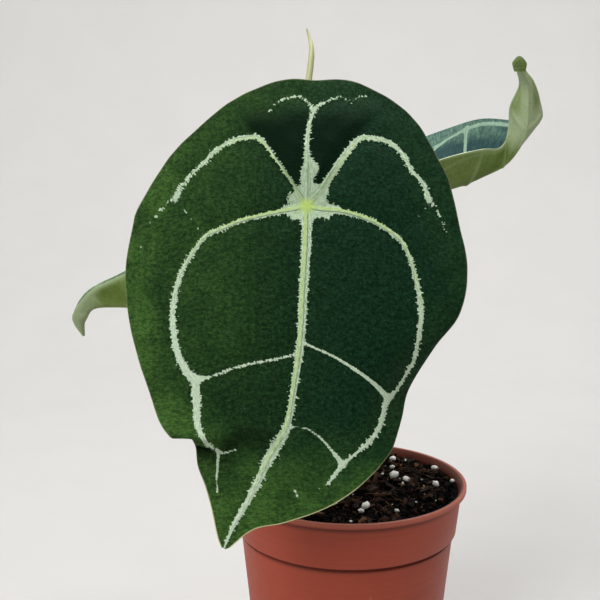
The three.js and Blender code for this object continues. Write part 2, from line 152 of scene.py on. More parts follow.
def between(value, low, high, start=0.0, end=1.0):
    """Goes smoothly from start to end while value goes from low to high."""
    inputs = {"Value": value, "From Min": low, "From Max": high, "To Min": start, "To Max": end}
    return Result(added("MapRange", inputs, interpolation_type="SMOOTHSTEP")["Result"])


def blend(share, first, second):
    """Mixes two colours: share 0 gives the first."""
    return Result(added("Mix", {0: share, 6: first, 7: second}, data_type="RGBA")[2])


print("results of nodes can be added, subtracted and multiplied")

# %% Helpers for places and patterns
def own_place():
    """Where a point is on its own object, in millimetres."""
    return stretched(Result(added("TexCoord", {})["Object"]), (1 / MM, 1 / MM, 1 / MM))


def stored(name):
    """A value that was stored in the mesh."""
    return Result(added("Attribute", {}, attribute_name=name)["Vector"])


def stretched(vector, scale):
    return Result(added("VectorMath", {0: vector, 1: scale}, operation="MULTIPLY")[0])


def parts_of(vector):
    return [Result(part) for part in added("SeparateXYZ", {0: vector})]


def vector_of(x, y, z=0.0):
    return Result(added("CombineXYZ", {0: x, 1: y, 2: z})[0])


def clouds(vector, scale, detail=2.0, roughness=0.5):
    """Soft noise, about 0.3 to 0.7. Scale counts its lumps per unit of the vector."""
    inputs = {"Vector": vector, "Scale": scale, "Detail": detail, "Roughness": roughness}
    return Result(added("TexNoise", inputs)[0])


def cells(vector, scale, edges=False):
    """A pattern of cells: the distance to each cell's middle, or to its edges."""
    feature = "DISTANCE_TO_EDGE" if edges else "F1"
    return Result(added("TexVoronoi", {"Vector": vector, "Scale": scale}, feature=feature)["Distance"])


def relief(shader, height, depth):
    """Raises the surface where height is 1, by depth millimetres."""
    bumps = added("Bump", {"Strength": 1.0, "Distance": depth * MM, "Height": height})
    feed(shader.inputs["Normal"], Result(bumps["Normal"]))


print("helpers for finishes are ready")

# %% [markdown]
# ## The studio
#
# A pale floor that curves up into a pale wall gives an even ground with no horizon. It is one sheet:
# a plane whose back edge is extruded upwards, with a wide bevel in the bend. Two large soft lamps
# and a bright sky leave only a soft shadow behind the pot.

# %% Make the floor and the wall
FLOOR_SIZE = 3.0
WALL_DISTANCE = 0.9

bpy.ops.object.select_all(action="DESELECT")
bpy.ops.mesh.primitive_plane_add(size=FLOOR_SIZE, location=(0, WALL_DISTANCE - FLOOR_SIZE / 2, 0))
floor = bpy.context.object
floor.name = "floor"
bpy.ops.object.transform_apply(location=True)
for edge in floor.data.edges:
    ends = [floor.data.vertices[i].co.y for i in edge.vertices]
    edge.select = min(ends) > WALL_DISTANCE - 0.01
for vertex in floor.data.vertices:
    vertex.select = vertex.co.y > WALL_DISTANCE - 0.01
bpy.ops.object.mode_set(mode="EDIT")
bpy.ops.mesh.select_mode(type="EDGE")
bpy.ops.mesh.extrude_region_move(TRANSFORM_OT_translate={"value": (0, 0, 2.0)})
bpy.ops.object.mode_set(mode="OBJECT")
bend = floor.modifiers.new("bend", "BEVEL")
bend.width = 0.5
bend.segments = 24
bend.limit_method = "ANGLE"
bpy.ops.object.modifier_apply(modifier="bend")
bpy.ops.object.shade_smooth()

floor_finish, floor_shader = new_finish("pale_floor")
grain = clouds(own_place(), 0.02)
feed(floor_shader.inputs["Base Color"], blend(grain, paint(204, 203, 201), paint(209, 208, 206)))
floor_shader.inputs["Roughness"].default_value = 0.9
floor.data.materials.append(floor_finish)
print("floor with", len(floor.data.polygons), "faces")

# %% Hang the lamps
def soft_lamp(name, place, aim, size, watts):
    bpy.ops.object.light_add(type="AREA", location=place)
    lamp = bpy.context.object
    lamp.name = name
    lamp.data.shape = "DISK"
    lamp.data.size = size
    lamp.data.energy = watts
    lamp.rotation_euler = (Vector(aim) - Vector(place)).to_track_quat("-Z", "Y").to_euler()


PLANT_MIDDLE = (0, 0, 0.13)
soft_lamp("lamp_front_left", (-0.75, -1.0, 1.05), PLANT_MIDDLE, 0.8, 14.4)
soft_lamp("lamp_above", (0.2, 0.25, 1.35), PLANT_MIDDLE, 0.9, 13.4)
sky = bpy.data.worlds.new("studio")
sky.use_nodes = True
sky.node_tree.nodes["Background"].inputs["Color"].default_value = (0.95, 0.97, 1.0, 1)
sky.node_tree.nodes["Background"].inputs["Strength"].default_value = 0.26
bpy.context.scene.world = sky
bpy.context.scene.view_settings.view_transform = "Standard"
print("two soft lamps and a pale sky")

# %% [markdown]
# ## Helpers for shapes
#
# Almost every part of a plant is a thin sheet or a tube along a curve. Both start here as a flat
# grid, added as a primitive. Each point of the grid has two numbers, u from -1 to 1 across and v
# from 0 to 1 along, and a short formula says where that point goes in space. The same curves were
# used for the solids, so the finer piece lies exactly where the solid does.

# %% Helpers for curves
def along(points, shares):
    """Points of a smooth curve through the given points, at shares from 0 to 1 of its stations."""
    points = np.array([list(p) + [0.0] * (3 - len(p)) for p in points], float)
    spans = len(points) - 1
    ends = np.vstack([2 * points[0] - points[1], points, 2 * points[-1] - points[-2]])
    station = np.clip(shares, 0, 1) * spans
    first = np.minimum(station.astype(int), spans - 1)
    t = (station - first)[..., None]
    before, start, end, after = (ends[first + i] for i in range(4))
    return 0.5 * (2 * start + (end - before) * t + (2 * before - 5 * start + 4 * end - after) * t ** 2
                  + (3 * start - before - 3 * end + after) * t ** 3)


def evenly(points, steps=600):
    """Makes a function that turns a share of a curve's length into a share of its stations."""
    shares = np.linspace(0, 1, steps)
    walked = np.linalg.norm(np.diff(along(points, shares), axis=0), axis=1)
    length = np.concatenate([[0], np.cumsum(walked)])
    return lambda share: np.interp(share, length / length[-1], shares), length[-1]


def alone(*pieces):
    """Selects only these pieces, so that an operator acts on nothing else."""
    bpy.ops.object.select_all(action="DESELECT")
    for piece in pieces:
        piece.select_set(True)
    bpy.context.view_layer.objects.active = pieces[0]


# %% Helper that shapes a grid
def shaped_grid(name, columns, rows, formula, facing=None):
    """A grid of columns by rows whose points go where formula(u, v) says, in millimetres."""
    bpy.ops.object.select_all(action="DESELECT")
    bpy.ops.mesh.primitive_grid_add(x_subdivisions=columns, y_subdivisions=rows, size=2)
    piece = bpy.context.object
    piece.name = piece.data.name = name
    flat = np.empty(len(piece.data.vertices) * 3)
    piece.data.vertices.foreach_get("co", flat)
    u, v = flat[0::3], (flat[1::3] + 1) / 2
    piece.data.vertices.foreach_set("co", (formula(u, v) * MM).ravel())
    store(piece, "sheet_uv", np.column_stack([u, v, 0 * u]))
    piece.data.update()
    if facing is not None:
        lean = sum((face.normal * face.area for face in piece.data.polygons), Vector())
        if lean.dot(Vector(facing)) < 0:
            bpy.ops.object.mode_set(mode="EDIT")
            bpy.ops.mesh.select_all(action="SELECT")
            bpy.ops.mesh.flip_normals()
            bpy.ops.object.mode_set(mode="OBJECT")
    return piece


def store(piece, name, values):
    """Keeps three numbers per point in the mesh, for the finish to read."""
    layer = piece.data.attributes.get(name) or piece.data.attributes.new(name, "FLOAT_VECTOR", "POINT")
    layer.data.foreach_set("vector", np.asarray(values, np.float32).ravel())


def read(piece, name):
    values = np.empty(len(piece.data.vertices) * 3, np.float32)
    piece.data.attributes[name].data.foreach_get("vector", values)
    return values.reshape(-1, 3)


def welded(piece, reach=0.004, outward=False):
    """Merges points that coincide, and turns the faces outwards on a closed shape."""
    alone(piece)
    bpy.ops.object.mode_set(mode="EDIT")
    bpy.ops.mesh.select_all(action="SELECT")
    bpy.ops.mesh.remove_doubles(threshold=reach * MM)
    if outward:
        bpy.ops.mesh.normals_make_consistent(inside=False)
    bpy.ops.object.mode_set(mode="OBJECT")
    return piece


def apply_modifier(piece, kind, **settings):
    """Adds a modifier with these settings and applies it."""
    alone(piece)
    step = piece.modifiers.new(kind.lower(), kind)
    for key, value in settings.items():
        setattr(step, key, value)
    bpy.ops.object.modifier_apply(modifier=step.name)


def finished(piece, finishes, slot, *nodes):
    """Gives a piece its finishes, hangs it on the root body and hides the CAD parts it stands for."""
    while len(piece.data.materials) < len(finishes):
        piece.data.materials.append(None)
    for i, finish in enumerate(finishes):
        piece.data.materials[i] = finish
    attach(piece, "root")
    if nodes:
        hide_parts(*nodes)
    sides = sum(len(face.vertices) - 2 for face in piece.data.polygons)
    print(piece.name, "has", sides, "triangles")


# %% [markdown]
# ## The pot
#
# A 9 cm nursery pot is blown or injected from terracotta-coloured plastic: a thin wall, a collar
# with a step and a narrow groove at its foot, and a rolled lip. Anything round is easiest as a
# profile that is spun about its axis. The profile is drawn with single extrudes, its corners are
# rounded while it is still a line, and then it is spun. The drain holes and the notches under the
# foot are cut with a Boolean modifier, because they are round or square holes in a round thing.

# %% Draw the profile and spin it
POT_HEIGHT = 80
LIP_FOOT = 78.2
COLLAR_FOOT = 62.1
BASE_RADIUS = 34
POT_OUTSIDE = [(0, 0), (21, 0), (22, 1.6), (30, 1.6), (31, 0), (BASE_RADIUS, 0),
               (40.2, 60.4), (39.5, 60.9), (39.5, 61.9), (41.4, COLLAR_FOOT),
               (43.1, 77.2), (43.3, LIP_FOOT), (45, LIP_FOOT), (45, POT_HEIGHT), (43.4, POT_HEIGHT)]
POT_INSIDE = [(42, 77.4), (39.9, 63.1), (39.1, 61.6), (32.8, 1.2), (31.5, 1.2), (30.5, 2.8), (21.5, 2.8),
              (20.5, 1.2), (0, 1.2)]


def spun(name, profile, steps, rounding):
    """Draws a profile of (radius, height) points, rounds its corners and spins it about the Z axis."""
    bpy.ops.object.select_all(action="DESELECT")
    bpy.ops.mesh.primitive_plane_add(size=MM, location=(0, 0, 0))
    piece = bpy.context.object
    piece.name = piece.data.name = name
    bpy.ops.object.mode_set(mode="EDIT")
    bpy.ops.mesh.select_mode(type="VERT")
    bpy.ops.mesh.merge(type="CENTER")
    here = (0, 0)
    for radius, height in profile:
        step = ((radius - here[0]) * MM, 0, (height - here[1]) * MM)
        if (radius, height) != here:
            bpy.ops.mesh.extrude_region_move(TRANSFORM_OT_translate={"value": step})
        here = (radius, height)
    bpy.ops.object.mode_set(mode="OBJECT")
    for vertex in piece.data.vertices:
        vertex.select = vertex.co.x > 0.1 * MM
    bpy.ops.object.mode_set(mode="EDIT")
    bpy.ops.mesh.bevel(offset=rounding * MM, segments=3, affect="VERTICES")
    bpy.ops.mesh.select_all(action="SELECT")
    bpy.ops.mesh.spin(steps=steps, angle=2 * math.pi, center=(0, 0, 0), axis=(0, 0, 1))
    bpy.ops.object.mode_set(mode="OBJECT")
    return welded(piece, outward=True)


pot = spun("nursery_pot", POT_OUTSIDE + POT_INSIDE, 144, 0.25)
print("pot shell with", len(pot.data.polygons), "faces")

# %% Cut the drain holes and the notches
DRAIN_HOLES = 8
DRAIN_RING = 26
DRAIN_RADIUS = 3.2
NOTCHES = 4
NOTCH = (8, 5, 2)

cutters = []
for i in range(DRAIN_HOLES):
    turn = 2 * math.pi * i / DRAIN_HOLES
    place = (DRAIN_RING * math.cos(turn) * MM, DRAIN_RING * math.sin(turn) * MM, 1.6 * MM)
    bpy.ops.mesh.primitive_cylinder_add(vertices=32, radius=DRAIN_RADIUS * MM, depth=6.4 * MM,
                                        location=place)
    cutters.append(bpy.context.object)
for i in range(NOTCHES):
    turn = 2 * math.pi * (i + 0.5) / NOTCHES
    place = (BASE_RADIUS * math.cos(turn) * MM, BASE_RADIUS * math.sin(turn) * MM, 0)
    scale = [side * MM for side in NOTCH]
    bpy.ops.mesh.primitive_cube_add(size=1, location=place, rotation=(0, 0, turn), scale=scale)
    cutters.append(bpy.context.object)
alone(*cutters)
bpy.ops.object.join()
cutter = bpy.context.object
apply_modifier(pot, "BOOLEAN", object=cutter, operation="DIFFERENCE", solver="EXACT")
bpy.data.objects.remove(cutter)
alone(pot)
bpy.ops.object.shade_smooth_by_angle(angle=math.radians(35))
print("pot after cutting has", len(pot.data.polygons), "faces")

# %% [markdown]
# Moulded plastic is even in colour but never perfectly so: it has faint flow lines that run round
# the pot, a slightly paler lip, worn and with a painted highlight along it, a few rubbed scratches,
# and specks of soil and dried water under the lip. The corner under the lip and the groove of the
# collar are darkened with painted shade, where the lip and the collar overhang them. The flow lines
# are a noise squeezed in height.

# %% Finish of the pot
terracotta, terracotta_shader = new_finish("terracotta_plastic")
place = own_place()
place_x, place_y, place_z = parts_of(place)
flow = clouds(stretched(place, (0.02, 0.02, 0.9)), 1.0, detail=4, roughness=0.6)
drift = clouds(place, 0.03, detail=3)
colour = blend(between(flow, 0.3, 0.7), paint(152, 63, 43), paint(159, 68, 47))
colour = blend(between(drift, 0.35, 0.7, 0, 0.5), colour, paint(164, 74, 54))
# The paler lip is partly wear and partly a painted highlight along its top.
lip = between(place_z, LIP_FOOT, 79.4)
colour = blend(lip * 0.6, colour, paint(186, 112, 94))
grime_noise = clouds(place, 0.8, detail=5, roughness=0.7)
under_lip = between(place_z, 70.0, 78.0)
radius = maths("SQRT", place_x * place_x + place_y * place_y)
# Painted shade: the corner under the lip and the groove under the collar foot are darkened.
corner = between(place_z, 75.2, 77.3) * between(radius, 44.3, 43.6)
groove = between(place_z, 59.0, 61.2) * between(radius, 41.0, 40.5)
groove = groove * between(place_z, 62.3, 62.0)
ledge_shade = maths("MAXIMUM", corner, groove)
colour = blend(ledge_shade * 0.66, colour, paint(52, 22, 16))
grime = between(grime_noise, 0.62, 0.70) * (0.25 + under_lip)
colour = blend(held(grime * 0.75), colour, paint(70, 36, 30))
scratch = clouds(stretched(place, (0.5, 0.5, 0.06)), 1.6, detail=2, roughness=0.4)
rubbed = between(scratch, 0.72, 0.78, 0, 0.35)
colour = blend(rubbed, colour, paint(196, 134, 116))
feed(terracotta_shader.inputs["Base Color"], colour)
feed(terracotta_shader.inputs["Roughness"], between(drift, 0.3, 0.7, 0.42, 0.56))
terracotta_shader.inputs["Specular IOR Level"].default_value = 0.25
skin = clouds(place, 2.2, detail=3)
relief(terracotta_shader, flow * 0.25 + skin, 0.05)
finished(pot, [terracotta], "terracotta_plastic", "pot")

# %% [markdown]
# ## The potting mix
#
# The mix is coarse: dark peat with bark chips, coconut fibres and white perlite. The body of it is
# one round grid, from the middle of its floor out to the wall, up and back to the middle of its
# surface, and only the surface gets many rings. Two Displace modifiers roughen the surface. Chips,
# grains and fibres are modelled once each in a few shapes, and strewn as copies.

# %% Body of the mix
MIX_LEVEL = 77.4
MIX_EDGE = 41.7
MIX_BODY = [(0, 3.1), (32.7, 3.1), (38.8, 61.6), (39.6, 63.1), (MIX_EDGE, MIX_LEVEL)]


def mix_height(x, y):
    """Height of the surface of the mix: a low mound with soft lumps."""
    spread = np.hypot(x, y) / 43.2
    lumps = np.sin(0.31 * x + 1.3) * np.cos(0.27 * y) + 0.6 * np.sin(0.53 * x - 0.47 * y)
    return MIX_LEVEL + 0.8 * (1 - spread ** 2) + 0.45 * lumps


def mix_formula(u, v):
    """v below 0.2 climbs the body, and the rest of v crosses the surface to its middle."""
    body = np.array(MIX_BODY, float)
    climb = np.clip(v / 0.2, 0, 1) * (len(body) - 1)
    stations = np.arange(len(body))
    radius = np.interp(climb, stations, body[:, 0])
    height = np.interp(climb, stations, body[:, 1])
    inwards = np.clip((v - 0.2) / 0.8, 0, 1)
    radius = np.where(v > 0.2, MIX_EDGE * (1 - inwards), radius)
    x, y = radius * np.cos(math.pi * u), radius * np.sin(math.pi * u)
    height = np.where(v > 0.199, mix_height(x, y), height)
    return np.column_stack([x, y, height])


mix = shaped_grid("potting_mix_body", 240, 140, mix_formula)
welded(mix, outward=True)
top = mix.vertex_groups.new(name="surface")
for vertex in mix.data.vertices:
    if vertex.co.z / MM > MIX_LEVEL - 1.6 and math.hypot(*vertex.co.xy) < 41.2 * MM:
        top.add([vertex.index], 1.0, "REPLACE")
for size, depth in ((4.5, 1.5), (1.3, 0.9)):
    crumbs = bpy.data.textures.new(f"crumbs_{size}", "CLOUDS")
    crumbs.noise_scale = size * MM
    crumbs.noise_depth = 3
    apply_modifier(mix, "DISPLACE", texture=crumbs, texture_coords="LOCAL", strength=depth * MM,
                   mid_level=0.55, direction="Z", vertex_group="surface")
alone(mix)
bpy.ops.object.shade_smooth()
print("mix body with", len(mix.data.polygons), "faces")

# %% Shapes of chips, grains and fibres
draw = random.Random(7)


def rough_lump(name, size, jitter, detail):
    """A small lump: a ball of triangles whose points are pushed in and out at random."""
    bpy.ops.object.select_all(action="DESELECT")
    bpy.ops.mesh.primitive_ico_sphere_add(subdivisions=detail, radius=0.5)
    lump = bpy.context.object
    lump.name = name
    for vertex in lump.data.vertices:
        vertex.co *= draw.uniform(1 - jitter, 1 + jitter)
        vertex.co = Vector(a * b for a, b in zip(vertex.co, size))
    return lump


def bark_shard(name, length, width, height):
    """A flat splinter of bark: a box cut in two along each side, with ragged corners."""
    bpy.ops.object.select_all(action="DESELECT")
    bpy.ops.mesh.primitive_cube_add(size=1, scale=(length, width, height))
    shard = bpy.context.object
    shard.name = name
    bpy.ops.object.transform_apply(scale=True)
    bpy.ops.object.mode_set(mode="EDIT")
    bpy.ops.mesh.select_all(action="SELECT")
    bpy.ops.mesh.subdivide(number_cuts=1)
    bpy.ops.object.mode_set(mode="OBJECT")
    for vertex in shard.data.vertices:
        vertex.co += Vector([draw.uniform(-0.16, 0.16) * side for side in (length, width, height)])
    return shard


def fibre(name, length, sag):
    """A coconut fibre: a thin five-sided rod, bent along its length."""
    bpy.ops.object.select_all(action="DESELECT")
    bpy.ops.mesh.primitive_grid_add(x_subdivisions=5, y_subdivisions=9, size=2)
    rod = bpy.context.object
    rod.name = name
    for vertex in rod.data.vertices:
        turn, share = math.pi * vertex.co.x, (vertex.co.y + 1) / 2
        thick = 0.02 * (1.05 - abs(2 * share - 1) ** 3)
        bend = sag * math.sin(math.pi * share) + 0.3 * sag * math.sin(3 * math.pi * share)
        across, up = bend + thick * math.cos(turn), thick * math.sin(turn) + 0.15 * bend
        vertex.co = (length * (share - 0.5), across, up)
    return welded(rod, reach=10, outward=True)


bark_shapes = [bark_shard(f"bark_{i}", draw.uniform(0.8, 1.1), draw.uniform(0.4, 0.8),
                          draw.uniform(0.16, 0.34))
               for i in range(5)]
crumb_shapes = [rough_lump(f"crumb_{i}", (1, draw.uniform(0.6, 0.9), draw.uniform(0.4, 0.8)), 0.25, 1)
                for i in range(3)]
grain_shapes = [rough_lump(f"grain_{i}", (1, draw.uniform(0.7, 0.95), draw.uniform(0.55, 0.85)), 0.2, 2)
                for i in range(4)]
fibre_shapes = [fibre(f"fibre_{i}", 1.0, draw.uniform(-0.22, 0.22)) for i in range(3)]
print("shapes for", len(bark_shapes + crumb_shapes + grain_shapes + fibre_shapes), "small pieces")

# %% [markdown]
# The copies are strewn with a seeded draw, so each run gives the same heap. The white grains that
# stand out beside the blade have given places, so that they lie where they are on the real plant.
# Each copy stores its own tint, and the copies of a kind are joined to one piece.

# %% Strew the copies
STEM_MIDDLE = (-4, 4)
SEEN_GRAINS = [(18.1, 4.1, 3.4), (22.7, 1.9, 2.6), (35.2, 15.3, 2.8), (33.6, -1.4, 2.6), (19.7, 26.3, 2.6),
               (18.5, 16.1, 2.2), (-5.8, -23.3, 2.4), (3.7, -29.5, 2.2), (5.5, -26.2, 3.0),
               (16.4, -28.6, 1.8), (-0.2, -36.0, 1.2), (40.2, 1.1, 1.6)]


def strewn(name, shapes, places):
    """Copies the shapes to the places, each a (x, y, size, tilt, lift), and joins the copies."""
    copies = []
    for x, y, size, tilt, lift in places:
        shape = draw.choice(shapes)
        copy = bpy.data.objects.new(name, shape.data.copy())
        bpy.context.scene.collection.objects.link(copy)
        turn = Euler((draw.uniform(-tilt, tilt), draw.uniform(-tilt, tilt), draw.uniform(0, 2 * math.pi)))
        height = float(mix_height(x, y)) + lift * size
        copy.data.transform(Matrix.LocRotScale(Vector((x, y, height)) * MM, turn, Vector((size,) * 3) * MM))
        tint = draw.random()
        store(copy, "tint", np.full((len(copy.data.vertices), 3), tint))
        copies.append(copy)
    alone(*copies)
    bpy.ops.object.join()
    heap = bpy.context.object
    heap.name = heap.data.name = name
    return heap


def random_place(edge, clear):
    """A place on the mix, away from the stem."""
    while True:
        radius, turn = edge * math.sqrt(draw.random()), draw.uniform(0, 2 * math.pi)
        x, y = radius * math.cos(turn), radius * math.sin(turn)
        if math.hypot(x - STEM_MIDDLE[0], y - STEM_MIDDLE[1]) > clear:
            return x, y


def scattered(count, edge, clear, size, tilt, lift):
    """Random places. size() draws a size, and lift is a range to draw from."""
    return [(*random_place(edge, clear), size(), tilt, draw.uniform(*lift)) for _ in range(count)]


places = scattered(420, 38.5, 8, lambda: draw.choice((1.4, 1.8, 2.4, 3.2, 4.4)), 0.7, (-0.1, 0.2))
bark = strewn("bark_chips", bark_shapes, places)
places = scattered(1700, 40.3, 7, lambda: draw.uniform(0.7, 2.2), 1.0, (0, 0.5))
crumbs = strewn("peat_crumbs", crumb_shapes, places)
loose = scattered(36, 38.5, 8, lambda: draw.uniform(0.5, 1.5), 1.0, (0.25, 0.5))
seen = [(x, y, 1.15 * size, 0.6, 0.5) for x, y, size in SEEN_GRAINS]
grains = strewn("perlite_grains", grain_shapes, seen + loose)
places = scattered(150, 34, 8, lambda: draw.uniform(5, 11), 0.25, (0.05, 0.16))
fibres = strewn("coir_fibres", fibre_shapes, places)
for shape in bark_shapes + crumb_shapes + grain_shapes + fibre_shapes:
    bpy.data.objects.remove(shape)
for heap in (grains, fibres):
    alone(heap)
    bpy.ops.object.shade_smooth()
print("strewn pieces:", [(heap.name, len(heap.data.polygons)) for heap in (bark, crumbs, grains, fibres)])

# %% Finishes of the mix
def crumbly(name, dark, light, spark, wet, shine):
    """Peat, bark and fibre: two browns mixed by each piece's tint, with pale sparks and a wet sheen."""
    finish, shader = new_finish(name)
    place = own_place()
    tint = parts_of(stored("tint"))[0]
    mottle = clouds(place, 1.4, detail=5, roughness=0.65)
    share = tint * 0.8 + mottle * 0.5
    colour = blend(between(share, 0.2, 1.2), dark, light)
    bright = between(tint, 0.86, 0.97) * between(mottle, 0.4, 0.6)
    colour = blend(bright, colour, spark)
    feed(shader.inputs["Base Color"], colour)
    feed(shader.inputs["Roughness"], between(clouds(place, 0.5), 0.35, 0.65, wet, 0.95))
    shader.inputs["Specular IOR Level"].default_value = shine
    relief(shader, mottle, 0.5)
    return finish


peat = crumbly("wet_peat", paint(3, 2, 2), paint(24, 15, 12), paint(74, 50, 36), 0.6, 0.05)
bark_finish = crumbly("bark_chip", paint(12, 7, 6), paint(76, 47, 34), paint(176, 128, 92), 0.5, 0.12)
coir = crumbly("coir_fibre", paint(40, 27, 20), paint(104, 76, 52), paint(150, 118, 86), 0.7, 0.12)

perlite, perlite_shader = new_finish("white_perlite")
place = own_place()
pores = cells(place, 2.6)
dirt = clouds(place, 0.9, detail=4)
colour = blend(between(pores, 0.1, 0.5), paint(240, 237, 232), paint(254, 253, 250))
colour = blend(between(dirt, 0.58, 0.75, 0, 0.5), colour, paint(150, 134, 118))
feed(perlite_shader.inputs["Base Color"], colour)
perlite_shader.inputs["Roughness"].default_value = 0.8
relief(perlite_shader, pores, 0.25)

finished(mix, [peat], "potting_mix", "potting_mix")
finished(crumbs, [peat], "potting_mix")
finished(bark, [bark_finish], "potting_mix")
finished(grains, [perlite], "potting_mix")
finished(fibres, [coir], "potting_mix")

# %% [markdown]
# ## The stem and its roots
#
# The stem is a short corky stump with stubs where the leaf stalks start, and fleshy roots that run
# down into the mix. The solid already has this branching shape, but its joints are hard. A copy of
# it is merged, remeshed into small even faces and smoothed, which melts the joints together as they
# are grown together on the plant, and a light Displace makes it knobbly.

# %% Make the stem
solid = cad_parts["stem_with_roots"]
stem = bpy.data.objects.new("stem_and_roots", solid.data.copy())
bpy.context.scene.collection.objects.link(stem)
stem.data.name = "stem_and_roots"
stem.data.materials.clear()
welded(stem, reach=1e-3)
apply_modifier(stem, "REMESH", mode="VOXEL", voxel_size=0.5 * MM, use_smooth_shade=True)
apply_modifier(stem, "SMOOTH", factor=0.5, iterations=4)
knobs = bpy.data.textures.new("knobs", "CLOUDS")
knobs.noise_scale = 3 * MM
knobs.noise_depth = 3
apply_modifier(stem, "DISPLACE", texture=knobs, texture_coords="LOCAL", strength=0.7 * MM, mid_level=0.5)

cork, cork_shader = new_finish("corky_stem")
place = own_place()
height = parts_of(place)[2]
rings = clouds(stretched(place, (0.25, 0.25, 1.1)), 1.0, detail=4)
colour = blend(between(rings, 0.35, 0.65), paint(92, 72, 44), paint(128, 112, 66))
colour = blend(between(height, 81, 88), colour, paint(104, 124, 64))
colour = blend(between(height, 76, 66, 0, 0.8), colour, paint(186, 170, 134))
feed(cork_shader.inputs["Base Color"], colour)
feed(cork_shader.inputs["Roughness"], between(rings, 0.3, 0.7, 0.65, 0.9))
relief(cork_shader, rings, 0.35)
finished(stem, [cork], "stem", "stem_with_roots")

# %% [markdown]
# ## The leaf stalks
#
# A stalk is a tube that grows thinner from its foot and swells again at the joint under the blade,
# where the plant turns the leaf to the light. Here a grid is rolled round a smooth curve: u goes
# round and v along. The rings stay square to the curve, and each ring takes over the direction of
# the ring before it, so the tube does not twist.

# %% Helper that rolls a tube round a curve
def rings_along(route, shares):
    """Middle points of the rings, and two directions across each, without any twist."""
    to_station, length = evenly(route)
    middles = along(route, to_station(shares))
    step = 1e-3
    before, after = np.maximum(shares - step, 0), np.minimum(shares + step, 1)
    ahead = along(route, to_station(after)) - along(route, to_station(before))
    ahead /= np.linalg.norm(ahead, axis=1)[:, None]
    side = np.cross(ahead[0], (0.2, 0.9, 0.3))
    sides = []
    for direction in ahead:
        side = side - direction * side.dot(direction)
        side = side / np.linalg.norm(side)
        sides.append(side)
    sides = np.array(sides)
    return middles, sides, np.cross(ahead, sides), length


def tube(name, route, radius_at, around=28, rings=150, section=None):
    """A closed tube round a curve. radius_at gives the radius at a share of the length."""
    shares = np.linspace(0, 1, rings + 1)
    middles, first, second, length = rings_along(route, shares)

    def formula(u, v):
        ring = np.rint(v * rings).astype(int)
        reach = radius_at(v) * (section(u, v) if section else 1)
        cos, sin = np.cos(math.pi * u) * reach, np.sin(math.pi * u) * reach
        return middles[ring] + first[ring] * cos[:, None] + second[ring] * sin[:, None]

    piece = shaped_grid(name, around, rings, formula)
    u, v, _ = read(piece, "sheet_uv").T
    store(piece, "sheet_uv", np.column_stack([u, v, v * length]))
    return piece


# %% Roll the four stalks
STALK_RADIUS = 1.35
FOOT_RADIUS = 1.9
KNOT = np.array([-15.7, -48.2, 189.0])
LEAN = math.radians(24.5)
LEAF_AXES = np.array([[1, 0, 0], [0, math.sin(LEAN), math.cos(LEAN)], [0, -math.cos(LEAN), math.sin(LEAN)]])


def behind_knot(distance):
    """A place behind the knot of the main blade, so many millimetres behind its back."""
    return tuple(KNOT + (-0.8 - distance) * LEAF_AXES[2])


# For each stalk: its route, and the radius of its joint.
STALKS = {
    "main": ([(-4.5, 1, 79), (-5, -2.5, 88), (-5.3, -4.7, 94), (-7, -9, 116), (-10.5, -19, 148),
              (-14, -28, 171), behind_knot(12), behind_knot(0.2)], 1.9),
    "right": ([(-1, 4, 79), (1.5, 3.2, 87.5), (3.2, 2.7, 93.3), (6.5, 3.5, 112), (13, 6, 146),
               (18.6, 7.2, 172), (19.8, 7.3, 187.0)], 1.9),
    "left": ([(-6.5, 5.5, 79), (-10.2, 7, 86.5), (-12.9, 8.1, 91.9), (-24, 14, 104), (-40, 22, 121),
              (-49.5, 26.6, 131), (-51.9, 27.3, 140.4)], 1.9),
    "young": ([(-4, 6, 80), (-4.6, 8.4, 89.5), (-5, 9.9, 95.3), (-7.5, 7.4, 118), (-10.4, 6.2, 142),
               (-12.6, 5.4, 164.5)], 1.5),
}
JOINT_LENGTH = 12


def stalk_radius(length, joint):
    """Thick foot, slim middle, swollen joint, and an end that closes inside the blade."""
    bend = 1 - JOINT_LENGTH / length
    shares = [0, 0.002, 0.1, 0.2, bend - 0.05, bend, bend + 0.03, 0.99, 1]
    radii = [0, FOOT_RADIUS, FOOT_RADIUS, STALK_RADIUS + 0.15, STALK_RADIUS, joint * 0.92, joint, joint, 0]
    return lambda v: np.interp(v, shares, radii)


stalk_green, stalk_shader = new_finish("green_stalk")
u_place, v_place, run = parts_of(stored("sheet_uv"))
turn_x = maths("COSINE", u_place * math.pi)
turn_y = maths("SINE", u_place * math.pi)
streaks = clouds(vector_of(turn_x, turn_y, run * 0.03), 3.0, detail=4)
specks = cells(own_place(), 1.3)
colour = blend(between(streaks, 0.35, 0.65), paint(96, 122, 58), paint(134, 156, 86))
colour = blend(between(specks, 0.16, 0.06, 0, 0.5), colour, paint(186, 196, 138))
colour = blend(between(v_place, 0.12, 0.0, 0, 0.7), colour, paint(128, 92, 60))
colour = blend(between(v_place, 0.88, 0.97, 0, 0.6), colour, paint(146, 166, 92))
feed(stalk_shader.inputs["Base Color"], colour)
feed(stalk_shader.inputs["Roughness"], between(streaks, 0.3, 0.7, 0.4, 0.55))
stalk_shader.inputs["Subsurface Weight"].default_value = 0.12
stalk_shader.inputs["Subsurface Radius"].default_value = (0.6, 1.0, 0.3)
stalk_shader.inputs["Subsurface Scale"].default_value = 0.0012
relief(stalk_shader, streaks, 0.12)


def grooved(u, v):
    """A round section with a shallow groove along one side."""
    return 1 - 0.10 * np.exp(-(u / 0.16) ** 2)


for name, (route, joint) in STALKS.items():
    length = evenly(route)[1]
    stalk = tube(f"stalk_{name}", route, stalk_radius(length, joint), section=grooved)
    welded(stalk, outward=True)
    bpy.ops.object.shade_smooth()
    finished(stalk, [stalk_green], "stalk", f"petiole_{name}")

